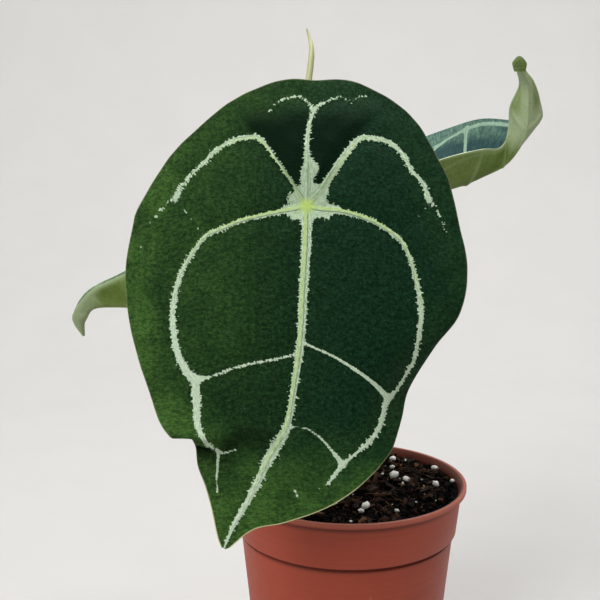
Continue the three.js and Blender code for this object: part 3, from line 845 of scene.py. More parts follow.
# %% [markdown]
# ## The dry bracts
#
# Each leaf leaves a papery brown bract at its foot, which clasps the stem and dries. It is a curved
# strip that narrows to a point, with fine ribs along it. The strip is a grid bent round the stem,
# and Solidify gives it the thickness of paper.

# %% Make the two bracts
papery, papery_shader = new_finish("papery_bract")
u_place, v_place, _ = parts_of(stored("sheet_uv"))
ribs = maths("SINE", u_place * 34.0)
fray = clouds(vector_of(u_place * 9.0, v_place * 2.0), 1.5, detail=5)
colour = blend(between(fray, 0.3, 0.7), paint(112, 82, 48), paint(176, 150, 104))
colour = blend(between(ribs, 0.3, 1.0, 0, 0.35), colour, paint(92, 62, 36))
colour = blend(between(v_place, 0.75, 1.0, 0, 0.6), colour, paint(82, 54, 34))
feed(papery_shader.inputs["Base Color"], colour)
papery_shader.inputs["Roughness"].default_value = 0.75
relief(papery_shader, ribs * 0.5 + fray, 0.2)

for name, facing, tall in (("front", 3.6, 26), ("back", 0.7, 20)):
    def bract_formula(u, v, facing=facing, tall=tall):
        turn = facing + u * 0.42 * np.sqrt(1.02 - v)
        curl = 0.35 * np.sin(9 * v + 2 * u) * v * (1 - 0.5 * u ** 2)
        radius = 6.2 + 9 * v ** 2 + curl
        height = 81.5 + tall * v - 0.8 * u ** 2 * (1 - v)
        return np.column_stack([STEM_MIDDLE[0] + radius * np.cos(turn),
                                STEM_MIDDLE[1] + radius * np.sin(turn), height])

    bract = shaped_grid(f"bract_{name}", 28, 48, bract_formula, facing=(math.cos(facing), math.sin(facing),
                                                                        0))
    apply_modifier(bract, "SOLIDIFY", thickness=0.45 * MM, offset=0)
    alone(bract)
    bpy.ops.object.shade_smooth_by_angle(angle=math.radians(50))
    finished(bract, [papery], "dry_bract", f"cataphyll_{name}")

# %% [markdown]
# ## Veins as numbers
#
# The silver veins are what this plant is known for, and their look follows the leaf: smooth or
# ragged edges, a yellow-green ridge on one side near the knot, and beside it a thin dark line that
# is painted shade in the vein's groove. So each point of a blade stores how far it lies from the
# nearest vein band, on which side, and how far along it, and the finish turns these into paint. The
# distance is found here, from vein lines drawn as points, and where two veins meet their bands melt
# together, as they do on the leaf.

# %% Helper that measures the veins
def measure_veins(x, y, veins, melt=0.35):
    """For each point: band (gap to the band's edge, side, run), look (ragged, broken, glow), distance."""
    weights = np.zeros_like(x)
    best = np.full_like(x, 1e9)
    nearest = np.full_like(x, 1e9)
    band, look = np.zeros((3, len(x))), np.zeros((3, len(x)))
    for number, vein in enumerate(veins):
        to_station, length = evenly(vein["points"])
        line = along(vein["points"], to_station(np.linspace(0, 1, max(3, int(length / 1.2)))))[:, :2]
        reach = np.full_like(x, 1e9)
        side, run = np.zeros_like(x), np.zeros_like(x)
        walked = 0.0
        for (ax, ay), (bx, by) in zip(line[:-1], line[1:]):
            dx, dy = bx - ax, by - ay
            span = math.hypot(dx, dy)
            t = np.clip(((x - ax) * dx + (y - ay) * dy) / span ** 2, 0, 1)
            ox, oy = x - ax - t * dx, y - ay - t * dy
            distance = np.hypot(ox, oy)
            closer = distance < reach
            reach = np.where(closer, distance, reach)
            side = np.where(closer, np.sign(dx * oy - dy * ox), side)
            run = np.where(closer, walked + t * span, run)
            walked += span
        share = run / walked
        half = np.interp(share, *zip(*vein["half"]))
        gap = reach - half
        weights += np.exp(-np.clip(gap, -8, 20) / melt)
        nearest = np.minimum(nearest, reach + (0.6 if max(h for _, h in vein["half"]) < 0.5 else 0))
        closer = gap < best
        best = np.where(closer, gap, best)
        for row, value in enumerate((gap, side * reach * vein.get("bright_side", 1), run + 37.0 * number)):
            band[row] = np.where(closer, value, band[row])
        for row, key in enumerate(("ragged", "broken", "glow")):
            ends = vein.get(key, (0.0, 0.0))
            look[row] = np.where(closer, np.interp(share, np.linspace(0, 1, len(ends)), ends), look[row])
    band[0] = -melt * np.log(weights)
    return band.T, look.T, nearest


def distance_to_line(x, y, z, points):
    """How far each point lies from a line of points in space."""
    reach = np.full(len(x), 1e9)
    for px, py, pz in points:
        reach = np.minimum(reach, np.sqrt((x - px) ** 2 + (y - py) ** 2 + (z - pz) ** 2))
    return reach


def inside_distance(x, y, corners):
    """Distance to the edge of a polygon, negative inside."""
    reach = np.full_like(x, 1e9)
    inside = np.zeros(len(x), bool)
    for (ax, ay), (bx, by) in zip(corners, corners[1:] + corners[:1]):
        dx, dy = bx - ax, by - ay
        t = np.clip(((x - ax) * dx + (y - ay) * dy) / (dx * dx + dy * dy), 0, 1)
        reach = np.minimum(reach, np.hypot(x - ax - t * dx, y - ay - t * dy))
        crosses = (ay > y) != (by > y)
        inside ^= crosses & (x < ax + dx * (y - ay) / (dy if dy else 1e-9))
    return np.where(inside, -reach, reach)


print("vein helpers are ready")

# %% [markdown]
# The main blade's veins, in its own plane: the knot where the stalk meets it is at 0, 0, x runs to
# the right and y up the leaf. `half` gives half the band's width at shares of its length, `ragged`
# how far the teeth of its edge reach, `broken` where it falls apart into flecks, and `glow` how
# strong the yellow-green ridge is. The pleat at the lower left has a crease, a line of points with
# the share of the full step that the sheet makes there.

# %% Veins of the main blade
MAIN_VEINS = [
    {"name": "midrib", "bright_side": -1,
     "points": [(0, 0), (-0.2, -12.6), (-1.1, -27.4), (-1.9, -42.8), (-3.6, -54.8), (-5.7, -67.4),
                (-7.2, -71.5), (-9.7, -75.7), (-11.8, -79.1), (-14.6, -84.6), (-17.4, -90.1),
                (-20.3, -94.9), (-22.5, -98.4), (-25.9, -106.0)],
     "half": [(0, 1.9), (0.1, 1.6), (0.3, 1.35), (0.58, 1.1), (0.64, 1.35), (0.71, 1.85), (0.78, 1.25),
              (0.86, 1.0), (0.93, 0.7), (1, 0.3)],
     "ragged": (0.5, 0.6, 0.6, 0.6, 0.9, 0.9, 0.8, 0.4), "glow": (1, 1, 0.9, 0.75, 0.6, 0.5, 0.05, 0)},
    {"name": "crown", "bright_side": 1,
     "points": [(0, 0), (0, 5.7), (0.1, 20.4), (0.5, 27.1), (2.4, 34.7)],
     "half": [(0, 1.2), (0.5, 0.95), (0.8, 0.75), (1, 0.6)], "ragged": (0.5, 0.8, 1.0, 0.8)},
    {"name": "crown_left", "points": [(2.4, 34.7), (-1.0, 39.2), (-3.3, 39.9), (-5.6, 39.6), (-9.4, 37.9),
                                      (-12.8, 34.4)],
     "half": [(0, 0.6), (0.6, 0.4), (1, 0.35)], "ragged": (0.6, 0.6, 0.8), "broken": (0, 0.15, 0.75)},
    {"name": "crown_right", "points": [(2.4, 34.7), (5.0, 37.0), (9.6, 39.4), (12.4, 39.7), (14.6, 38.2)],
     "half": [(0, 0.6), (0.6, 0.4), (1, 0.3)], "ragged": (0.6, 0.6, 0.8), "broken": (0, 0.15, 0.5)},
    {"name": "crown_far", "points": [(14.6, 39.1), (19.2, 40.5), (22.7, 39.9)],
     "half": [(0, 0.12), (0.5, 0.25), (1, 0.1)], "ragged": (0.6, 0.6), "broken": (0.8, 0.8)},
    {"name": "upper_left", "bright_side": 1,
     "points": [(0, 0), (-3.3, 5.7), (-6.2, 10.5), (-10.0, 16.3), (-12.9, 21.0), (-16.0, 24.4),
                (-19.0, 24.6), (-23.5, 23.9), (-27.3, 22.0), (-31.0, 19.3), (-33.2, 16.1), (-36.1, 13.5),
                (-39.0, 10.4), (-41.2, 7.4), (-42.3, 4.3)],
     "half": [(0, 0.8), (0.12, 0.5), (0.3, 0.5), (0.48, 0.95), (0.7, 0.8), (0.9, 0.6), (1, 1.0)],
     "ragged": (0.4, 0.5, 0.8, 0.9, 0.9), "broken": (0, 0, 0, 0.05, 0.15), "glow": (0.5, 0.7, 0.2, 0)},
    {"name": "upper_left_spur", "points": [(-42.3, 4.3), (-44.5, 3.7), (-49.4, -1.8), (-51.6, -4.7),
                                           (-53.5, -12.5)],
     "half": [(0, 0.7), (0.2, 0.45), (0.5, 0.35), (1, 0.12)], "ragged": (0.7, 0.7),
     "broken": (0.2, 0.8, 1)},
    {"name": "upper_left_link", "points": [(-42.3, 4.3), (-37.9, -2.2), (-32.9, -9.1)],
     "half": [(0, 0.25), (1, 0.15)], "ragged": (0.3, 0.3), "broken": (0.9, 0.9)},
    {"name": "upper_right", "bright_side": -1,
     "points": [(0, 0), (4.1, 4.6), (7.8, 10.6), (10.8, 15.5), (13.9, 20.1), (16.2, 23.2), (18.5, 24.5),
                (22.2, 24.3), (26.0, 23.6), (29.0, 21.7), (31.9, 18.1), (34.0, 13.3), (36.9, 10.3),
                (38.4, 7.1), (39.4, 4.0)],
     "half": [(0, 1.4), (0.25, 1.2), (0.5, 0.95), (0.7, 0.85), (0.9, 0.75), (1, 1.0)],
     "ragged": (0.7, 0.6, 0.6, 0.7, 0.8), "broken": (0, 0, 0, 0.05, 0.1), "glow": (0.4, 0.4, 0.1, 0)},
    {"name": "upper_right_spur", "points": [(39.4, 4.0), (41.6, 0.7), (43.4, -3.1), (45.1, -7.6)],
     "half": [(0, 0.7), (0.5, 0.45), (1, 0.2)], "ragged": (0.7, 0.8), "broken": (0.1, 0.65)},
    {"name": "upper_right_link", "points": [(39.4, 3.3), (37.7, -0.4), (30.4, -8.0), (28.9, -9.7)],
     "half": [(0, 0.25), (1, 0.12)], "ragged": (0.3, 0.3), "broken": (0.9, 0.9)},
    {"name": "left", "bright_side": -1,
     "points": [(0, 0), (-4.0, -1.2), (-8.4, -1.9), (-15.7, -3.3), (-21.5, -4.7), (-26.7, -6.8),
                (-31.8, -8.8), (-35.4, -13.1), (-38.3, -17.5), (-40.5, -21.8), (-41.9, -27.6),
                (-42.6, -33.6), (-42.0, -40.4), (-40.8, -46.3), (-37.8, -52.1), (-34.9, -54.7)],
     "half": [(0, 1.0), (0.2, 0.75), (0.45, 0.75), (0.7, 0.9), (0.92, 1.15), (1, 1.5)],
     "ragged": (0.6, 0.6, 0.7, 0.8, 0.8), "glow": (1, 0.9, 0.3, 0, 0)},
    {"name": "left_down", "points": [(-34.9, -54.7), (-34.8, -58.5), (-34.6, -61.8), (-34.4, -65.2),
                                     (-34.0, -68.5), (-33.2, -71.3), (-32.0, -73.0), (-30.6, -74.3),
                                     (-29.4, -75.1), (-27.9, -76.0)],
     "half": [(0, 1.4), (0.4, 1.2), (0.72, 0.85), (0.86, 0.5), (1, 0.15)], "ragged": (0.7, 0.7, 0.5)},
    {"name": "left_low", "points": [(-27.9, -76.2), (-28.0, -78.5), (-28.1, -81.8), (-28.3, -85.1),
                                    (-28.1, -87.3), (-27.9, -90.1)],
     "half": [(0, 0.45), (0.3, 0.4), (1, 0.26)], "ragged": (0.2, 0.3), "broken": (0, 0, 0.3)},
    {"name": "left_low_cross", "points": [(-27.9, -76.2), (-26.3, -76.7), (-24.0, -76.3), (-21.8, -75.9)],
     "half": [(0, 0.36), (1, 0.24)], "ragged": (0.2, 0.3), "broken": (0, 0.05)},
    {"name": "left_cross", "points": [(-34.9, -54.7), (-29.8, -53.8), (-22.6, -51.4), (-15.4, -49.9),
                                      (-8.2, -48.6), (-3.3, -47.3)],
     "half": [(0, 0.9), (0.15, 0.4), (0.6, 0.36), (1, 0.3)], "ragged": (0.4, 0.3, 0.25, 0.25)},
    {"name": "right", "bright_side": 1,
     "points": [(0, 0), (4.0, -1.2), (9.9, -1.6), (15.0, -2.6), (20.9, -4.7), (25.3, -7.2), (29.3, -10.0),
                (31.8, -14.1), (33.5, -19.2), (34.9, -25.1), (35.9, -30.9), (36.0, -36.0), (35.0, -42.9),
                (33.8, -47.9), (31.2, -52.3), (28.7, -56.6), (26.1, -59.4)],
     "half": [(0, 1.2), (0.2, 0.8), (0.5, 0.75), (0.68, 0.95), (0.84, 0.6), (0.95, 0.4), (1, 0.8)],
     "ragged": (0.6, 0.6, 0.7, 0.8, 0.4), "glow": (1, 0.9, 0.4, 0, 0)},
    {"name": "right_down", "points": [(26.1, -59.4), (24.6, -61.6), (23.9, -65.1), (22.4, -69.3),
                                      (19.6, -73.5), (16.0, -76.7), (13.1, -79.1), (11.0, -80.9)],
     "half": [(0, 0.9), (0.3, 0.8), (0.6, 0.75), (0.85, 0.5), (1, 0.6)], "ragged": (0.4, 0.6, 0.8, 0.8,
                                                                                    0.4)},
    {"name": "right_low", "points": [(11.0, -80.9), (8.8, -83.6), (6.4, -86.7), (3.5, -88.4)],
     "half": [(0, 0.8), (0.5, 0.6), (1, 0.15)], "ragged": (0.4, 0.6, 0.7), "broken": (0, 0.1, 0.8)},
    {"name": "right_cross", "points": [(-1.9, -43.5), (2.5, -45.6), (7.5, -47.7), (13.2, -50.9),
                                       (18.2, -54.0), (21.7, -56.4), (25.2, -59.4)],
     "half": [(0, 0.25), (0.4, 0.35), (0.8, 0.55), (1, 1.0)], "ragged": (0.15, 0.15, 0.15)},
    {"name": "right_low_cross", "points": [(-6.3, -69.7), (-1.1, -69.8), (1.8, -71.2), (4.6, -73.3),
                                           (7.4, -76.4), (10.8, -80.5)],
     "half": [(0, 0.22), (0.4, 0.24), (0.75, 0.38), (1, 0.85)], "ragged": (0.08, 0.12, 0.2)},
    {"name": "low_fleck", "points": [(-3.6, -88.8), (-2.9, -91.5)], "half": [(0, 0.35), (1, 0.2)],
     "ragged": (0.5, 0.5)},
]
print(len(MAIN_VEINS), "veins on the main blade")

# %% The pale patch round the knot, and the crease of the pleat
KNOT_PATCH = [(0.8, 17.9), (1.8, 16.6), (3.4, 14.6), (3.9, 13.6), (3.4, 11.4), (2.3, 9.5), (2.3, 8.1),
              (2.9, 7.6), (7.1, 7.0), (6.9, 4.3), (5.8, 2.5), (6.9, 1.1), (9.8, 0.3), (11.2, -0.4),
              (7.8, -3.1), (6.7, -4.7), (4.9, -3.8), (2.4, -4.0), (0.0, -5.5), (-2.7, -4.7), (-4.7, -4.9),
              (-5.4, -3.8), (-6.1, -2.9), (-9, -0.9), (-7, 0), (-5.6, 0.7), (-6.1, 2.0), (-5.6, 3.8),
              (-4.5, 4.7), (-3.4, 6.6), (-2.1, 7.0), (-1.9, 9.5), (-2.2, 11.5), (-1.2, 14.4), (-0.9, 17.9)]
CREASE = [(-44, -72.2), (-41.3, -72.6), (-35.3, -73.6), (-32.6, -74.3), (-30.3, -74.9), (-28.3, -75.9),
          (-25.1, -74.7), (-21.7, -72.6), (-17.2, -71.8), (-12.6, -72.7)]
CREASE_STRENGTH = [(-44, 1.0), (-31, 1.0), (-28, 0.6), (-22, 0.25), (-12.6, 0.0)]
CREASE_STEP = 1.3
print("the crease runs over", round(CREASE[-1][0] - CREASE[0][0]), "mm of the blade's width")

# %% [markdown]
# ## The main blade
#
# The big blade is two grids. Below the knot the sheet hangs between three rails, the left margin,
# the midrib and the right margin, and above the knot it is a fan of rays from the knot. The rails
# carry the pleat at the lower left, where the margin turns back on itself, and the rolled right
# margin. Both grids share the row at the level of the knot, so they merge without a seam.

# %% Outline of the main blade
LEFT_MARGIN = [(-56, -0.8), (-58.4, -17.3), (-57.3, -32.4), (-53.7, -47), (-49.6, -58.4), (-46.3, -67.5),
               (-42.3, -72.4, 0.5), (-39.3, -70.6, -4.5), (-36, -73, -8), (-34.5, -80.7, -6),
               (-31.8, -87.6, -3), (-29.5, -95.6, -1.5), (-27.9, -102.7), (-26.8, -105.6)]
MIDRIB = [(0, 0), (-0.5, -18.6), (-1.4, -34.4), (-2.9, -48.7), (-4.4, -60), (-5.6, -67.3), (-8.7, -74.2),
          (-10.3, -76.6), (-11.8, -79), (-14.6, -84.7), (-17.7, -90.4), (-20.5, -95.2), (-23.7, -100.6),
          (-25.6, -106.2)]
RIGHT_MARGIN = [(48.9, -2.1), (51.5, -18.6), (48.8, -33.1, -1), (41, -43, -7), (33, -55.5, -12),
                (30.2, -65.5, -9), (27.1, -75, -5), (24.1, -79.5, -3), (20.2, -83.9, -1.5), (13.3, -89.8),
                (4.6, -94.6), (-6.9, -98.4), (-16.5, -100.4), (-24, -105.8)]
TOP_MARGIN = [(-56, -0.8), (-53.5, 4.5), (-44.8, 19.2), (-35.6, 29.1), (-25.5, 38.3), (-12.6, 45.2),
              (-4.9, 46.9), (4, 46.4), (14.5, 46.6), (26.5, 40.7), (36.2, 31.4), (42.6, 19), (46.2, 11),
              (48.9, -2.1)]
HALF_COLUMNS = 80
ROWS = 180
RAYS = 130


def lower_blade(u, v):
    """The sheet between the rails, in the blade's own plane."""
    station = evenly(MIDRIB)[0](v)
    middle = along(MIDRIB, station)
    margin = np.where((u < 0)[:, None], along(LEFT_MARGIN, station), along(RIGHT_MARGIN, station))
    out = np.abs(u)
    place = middle + (margin - middle) * out[:, None]
    place[:, 2] = margin[:, 2] * out ** np.where(u < 0, 1.3, 4.0)
    return place


def upper_blade(u, v):
    """The fan: u goes round from the left to the right, v from the knot to the margin."""
    return along(TOP_MARGIN, (u + 1) / 2) * v[:, None]


lower = shaped_grid("main_blade", 2 * HALF_COLUMNS, ROWS, lower_blade, facing=(0, 0, 1))
upper = shaped_grid("main_blade_fan", RAYS, HALF_COLUMNS, upper_blade, facing=(0, 0, 1))
alone(lower, upper)
bpy.ops.object.join()
main_blade = welded(bpy.context.object, reach=0.005)
print("main blade has", len(main_blade.data.vertices), "points")

# %% [markdown]
# With the flat shape in place, its points are lifted off the plane. The blade bulges towards the
# viewer and falls away to all its margins, and its veins lie in soft valleys with a narrow ridge
# along each big vein. At the crease of the pleat the sheet steps down behind the fold. Little light
# gets into that fold on the real leaf, so a share of shade below the line is stored as well. The
# numbers for the finish are stored first, while the points are still flat.

# %% Store the veins and lift the blade
def points_of(piece):
    flat = np.empty(len(piece.data.vertices) * 3)
    piece.data.vertices.foreach_get("co", flat)
    return flat.reshape(-1, 3) / MM


def move_points(piece, places):
    piece.data.vertices.foreach_set("co", (places * MM).ravel())
    piece.data.update()


x, y, z = points_of(main_blade).T
band, look, nearest = measure_veins(x, y, MAIN_VEINS)
patch = inside_distance(x, y, KNOT_PATCH)
look[:, 0] = np.where(patch < band[:, 0], 0.75, look[:, 0])
look[:, 1] = np.where(patch < band[:, 0], 0.0, look[:, 1])
band[:, 0] = np.minimum(band[:, 0], patch)
outline = np.vstack([along(line, np.linspace(0, 1, 500)) for line in (LEFT_MARGIN, RIGHT_MARGIN,
                                                                      TOP_MARGIN)])
margin = distance_to_line(x, y, z, outline)
store(main_blade, "band", band)
store(main_blade, "band_look", look)
store(main_blade, "leaf_place", np.column_stack([x, y, margin]))

bulge = -x ** 2 / 380 - y ** 2 / np.where(y < 0, 660, 320)
valley = -0.8 * np.exp(-(nearest / 4) ** 2)
ridge = 0.32 * np.exp(-(nearest / 0.8) ** 2) * np.clip(1 - look[:, 1], 0, 1)
crease_y = np.interp(x, *zip(*CREASE))
below = crease_y - y
strength = np.interp(x, *zip(*CREASE_STRENGTH))
fold = -CREASE_STEP * np.tanh(below / 0.3) * np.exp(-(below / np.where(below > 0, 4.0,
                                                                       6.0)) ** 2) * strength
shade = np.clip(below / 0.4 + 0.5, 0, 1) * np.exp(-(np.clip(below, 0, None) / 3.9) ** 2) * strength
# Painted shade also fills the hollow under the crease and the top of the lower flap.
hollow_shade = 0.55 * np.exp(-((below - 0.5) / 3.2) ** 2) * np.interp(x, [-33, -25, -14, -5], [0, 1, 1, 0])
flap_shade = 0.8 * np.clip(below / 0.4 + 0.5, 0, 1) * np.exp(-((below - 1) / 7) ** 2)
flap_shade = flap_shade * np.interp(x, [-34, -27, -20], [1, 0.8, 0])
shade = np.maximum(shade, np.maximum(hollow_shade, flap_shade))
store(main_blade, "crease", np.column_stack([shade, 0 * x, 0 * x]))
puckers = 0.22 * np.sin(0.55 * x + 0.8 * np.sin(0.31 * y)) * np.sin(0.47 * y + 1.1) * np.clip(nearest / 5,
                                                                                              0, 1)
lifted = z + bulge + valley + ridge + puckers + fold
rib = 0.55 * np.exp(-(nearest / 1.4) ** 2) * np.clip(margin / 6, 0, 1)
store(main_blade, "rib", np.column_stack([rib, 0 * rib, 0 * rib]))
move_points(main_blade, KNOT + np.column_stack([x, y, lifted]) @ LEAF_AXES)
print("lift of the main blade from", round(float(lifted.min()), 1), "to", round(float(lifted.max()), 1),
      "mm")

# %% Give the blade its thickness
def blade_thickness(piece, thickness):
    """Adds the underside and the rim, and raises the ribs under the blade."""
    apply_modifier(piece, "SOLIDIFY", thickness=thickness * MM, offset=0, use_rim=True, material_offset=1,
                   material_offset_rim=2)
    mesh = piece.data
    ribs = read(piece, "rib")[:, 0]
    below = np.zeros(len(mesh.vertices), bool)
    for face in mesh.polygons:
        if face.material_index == 1:
            below[list(face.vertices)] = True
    normals = np.array([v.normal for v in mesh.vertices])
    move_points(piece, points_of(piece) + normals * (ribs * below)[:, None])
    alone(piece)
    bpy.ops.object.shade_smooth_by_angle(angle=math.radians(60))


def three_faces(piece):
    """Three empty finish slots, for the upper face, the underside and the rim."""
    while len(piece.data.materials) < 3:
        piece.data.materials.append(None)


three_faces(main_blade)
blade_thickness(main_blade, 0.5)
print("main blade with both faces has", len(main_blade.data.polygons), "faces")

# %% [markdown]
# ## Finishes of the blades
#
# The upper face is a very dark green with a velvet look: fine cells under the skin, softer patches,
# a yellower margin, and painted light on the margin and the lower blade. The silver is painted where
# the gap to a vein band is below nothing, after a noise and the cones of a cell pattern have been
# added to the gap. Both are drawn out across the vein, which pulls the edge out into the small
# pointed teeth of the real leaf. A limit on the inward side keeps thin veins whole, and a wider noise
# breaks the faint veins into flecks. The painted shade of the pleat's crease darkens all of it. The
# same function makes the upper face of every blade, with paler paints for the young ones, which have
# no crease shade: what a mesh doesn't store reads as 0.

# %% Finish of an upper face
def upper_face(name, deep, plain, cool, sunny, silver, pale, glow_colour, glow_line, dusky,
               cream=0.0, edge_light=(17, 3), side_light=(44, -36), shine=0.03, tip=None):
    """The green goes from deep to plain, cool to one side, and to sunny where light is painted on:
    near the margin, on the lower blade and on one cheek.

    The silver goes to pale, with a ridge of glow_colour, a line of glow_line that is painted shade in
    the groove beside the ridge, and a dusky part above the knot. cream is the share of the pale edge,
    the blade's pale margin with painted rim light on it, and tip the colour of a curled tip.
    """
    finish, shader = new_finish(name)
    gap, side, run = parts_of(stored("band"))
    ragged, broken, glow = parts_of(stored("band_look"))
    x, y, margin = parts_of(stored("leaf_place"))
    flat = vector_of(x, y)

    # Teeth: a soft noise and sharp cones, both drawn out across the vein.
    toothed = vector_of(run * 1.7, side * 0.8, 3.0)
    teeth = (clouds(toothed, 1.0, detail=4, roughness=0.72) - 0.5) * 2.6
    spiked = vector_of(run * 1.5, side * 0.65, 5.0)
    spikes = (cells(spiked, 1.0) - 0.5) * 2.6
    uneven = between(clouds(vector_of(run, 0.0), 0.3), 0.35, 0.65, 0.5, 1.4)
    teeth = maths("MINIMUM", teeth + spikes * uneven, 0.3)
    teeth = teeth * ragged
    gone = between(clouds(flat, 0.55, detail=2), 0.38, 0.62, 0.0, 1.6)
    gap = gap + teeth + gone * broken
    silvered = between(gap, 0.1, -0.12)

    # Green: bright specks and dark threads on deep green, a yellower margin, and painted light on the
    # margin and the lower blade.
    grain = between(cells(flat, 1.9), 0.42, 0.08)
    mottle = clouds(flat, 0.8, detail=4, roughness=0.7)
    patches = clouds(flat, 0.1, detail=3)
    threads = clouds(vector_of(x * 0.3, y), 0.9, detail=3, roughness=0.6)
    threads = between(abs(threads - 0.5), 0.05, 0.0)
    rough_share = grain * 0.42 + between(mottle, 0.3, 0.75, 0.09, 1.09)
    usual = blend(between(x, -25, 20), plain, cool)
    green = blend(held(rough_share * 0.75), deep, usual)
    # Painted light: near the margin, on the lower blade and on the left cheek the green goes towards sunny.
    outer = between(margin, *edge_light) * between(x, *side_light, 0.12, 1.0)
    outer = outer * between(y, 34, 4, 0.4, 1.0)
    lower = between(y, -64, -98, 0.0, 1.0)
    cheek = between(x, -6, -34) * between(y, -64, -40)
    lit = maths("MAXIMUM", maths("MAXIMUM", outer, lower), cheek * 0.35)
    lit = lit * between(patches, 0.3, 0.62, 0.4, 1.0)
    lit = held(lit * (0.35 + rough_share * 0.75))
    green = blend(lit, green, sunny)
    if tip:
        green = blend(between(y, -72, -76), green, tip)
    specks = between(cells(flat, 1.5), 0.24, 0.06) * between(patches, 0.35, 0.6, 0.06, 0.2)
    green = blend(specks, green, silver)
    wedge = abs(x) - y * 0.68
    crown = between(wedge, 2, -2) * between(y, 40, 27, 0.0, 0.95)
    green = blend(maths("MAXIMUM", crown, threads * 0.5), green, deep)

    # Silver: fine streaks along the vein, a green ridge on one side, and beside it a dark line of painted
    # shade for its groove.
    streaks = clouds(vector_of(run * 0.6, side * 3.2), 1.0, detail=4, roughness=0.7)
    grey = blend(between(streaks, 0.4, 0.6), silver, pale)
    paleness = between(glow, 0.35, 0.0, 0.0, 0.6)
    grey = blend(paleness * between(y, 20, -50, 0.0, 0.7), grey, pale)
    ridge_share = between(side, -0.14, 0.1) * between(side, 1.2, 0.8)
    grey = blend(ridge_share * glow * 0.62, grey, glow_colour)
    line = between(abs(side + 0.3), 0.28, 0.05)
    grey = blend(line * glow * 0.75, grey, glow_line)
    knot = maths("SQRT", x * x + y * y)
    rays = between(clouds(vector_of(side * 1.6, run * 0.08), 1.0, detail=3), 0.5, 0.62)
    above = between(knot, 22, 12) * between(y, -1, 2)
    grey = blend(above * 0.45, grey, dusky)
    # Painted shade: dark streaks and groove lines over the dusky patch above the knot.
    grey = blend(rays * above * 0.3, grey, glow_line)
    grey = blend(line * (above * 0.55), grey, glow_line)
    grey = blend(between(knot, 3.6, 0.8, 0.0, 0.95), grey, glow_colour)
    colour = blend(silvered, green, grey)
    # A pale edge: the blade's own pale margin with painted rim light, strongest at the bottom.
    edge = between(margin, 0.45, 0.1) * between(y, -80, -92, 0.25 * cream, cream)
    colour = blend(edge, colour, paint(196, 196, 146))
    # Painted shade in the crease of the pleat and below it, weaker over the silver.
    crease_shade = parts_of(stored("crease"))[0]
    colour = blend(crease_shade * between(silvered, 0, 1, 0.95, 0.5), colour, paint(3, 10, 4))

    feed(shader.inputs["Base Color"], colour)
    feed(shader.inputs["Roughness"], between(silvered, 0, 1, 0.55, 0.62))
    shader.inputs["Specular IOR Level"].default_value = shine
    grain = grain * between(silvered, 1, 0, 0.08, 0.4)
    height = grain - threads * 0.4
    relief(shader, height + silvered * 0.5, 0.12)
    return finish


# %% Finish of an underside
def under_face(name, deepest, dark, light, vein_colour, net_share=0.4, vein_share=1.0, fold=0.0,
               soft=(1, 1, 1, 1), shine=0.3):
    """fold is how dark the painted shade in the hollow along each half is, and a blade with a fold also
    gets painted light, the colour soft, on its bent end.
    """
    finish, shader = new_finish(name)
    gap = parts_of(stored("band"))[0]
    x, y, margin = parts_of(stored("leaf_place"))
    flat = vector_of(x, y)
    across = abs(x)
    patches = clouds(flat, 0.1, detail=4)
    mottle = clouds(flat, 0.8, detail=4)
    share = patches * 0.8 + mottle * 0.5
    green = blend(between(share, 0.45, 0.85), dark, light)
    # Painted shade: the hollow along each half of the blade is darker.
    hollow_shade = between(across, 4, 8) * between(across, 17, 10)
    green = blend(hollow_shade * fold, green, deepest)
    if fold:
        # Painted light: the bent end of the blade is paler, apart from a strip across it.
        strip = between(y, -58, -64) * between(across, 2.5, 4.5, 0, 0.7)
        bent = between(y, -44, -52) * between(y, -79, -75)
        bent = bent * (1.0 - strip)
        green = blend(bent * between(mottle, 0.3, 0.7, 0.75, 1.0), green, soft)
    net = between(cells(flat, 0.42, edges=True), 0.07, 0.0, 0, net_share)
    green = blend(net, green, vein_colour)
    green = blend(between(gap, 0.6, -0.4, 0, vein_share), green, vein_colour)
    green = blend(between(margin, 0.9, 0.2, 0, 0.6), green, vein_colour)
    feed(shader.inputs["Base Color"], green)
    feed(shader.inputs["Roughness"], between(mottle, 0.3, 0.7, 0.5, 0.66))
    shader.inputs["Specular IOR Level"].default_value = shine
    relief(shader, mottle + net, 0.12)
    return finish


def rim_finish(name, colour, other):
    finish, shader = new_finish(name)
    share = clouds(own_place(), 0.35, detail=4)
    feed(shader.inputs["Base Color"], blend(between(share, 0.35, 0.65), colour, other))
    shader.inputs["Roughness"].default_value = 0.55
    return finish


dark_upper = upper_face(
    "dark_velvet_leaf", deep=paint(3, 24, 9), plain=paint(42, 74, 36), cool=paint(31, 66, 44),
    sunny=paint(70, 106, 46), silver=paint(142, 170, 132), pale=paint(204, 222, 198),
    glow_colour=paint(178, 204, 112), glow_line=paint(90, 118, 70), dusky=paint(132, 150, 124), cream=0.9)
dark_under = under_face(
    "pale_leaf_underside", deepest=paint(80, 106, 68), dark=paint(96, 122, 84), light=paint(134, 156, 112),
    vein_colour=paint(176, 190, 146))
dark_rim = rim_finish("leaf_rim", paint(112, 126, 74), paint(176, 180, 124))
finished(main_blade, [dark_upper, dark_under, dark_rim], "dark_leaf", "blade_main")

# %% [markdown]
# ## The two smaller blades
#
# Both are young leaves that are still soft and pale. The right one is folded up like a boat, and the
# last stations of its rails curl its tip over into a small knob. The left one is hollow along its
# midrib with its tip hanging down. Each row across such a blade is an arc from one margin, through
# the midrib, to the other margin, so three rails in space describe it. Their veins are drawn in
# shares of the blade, u across and v along, and are then measured on the blade laid flat.

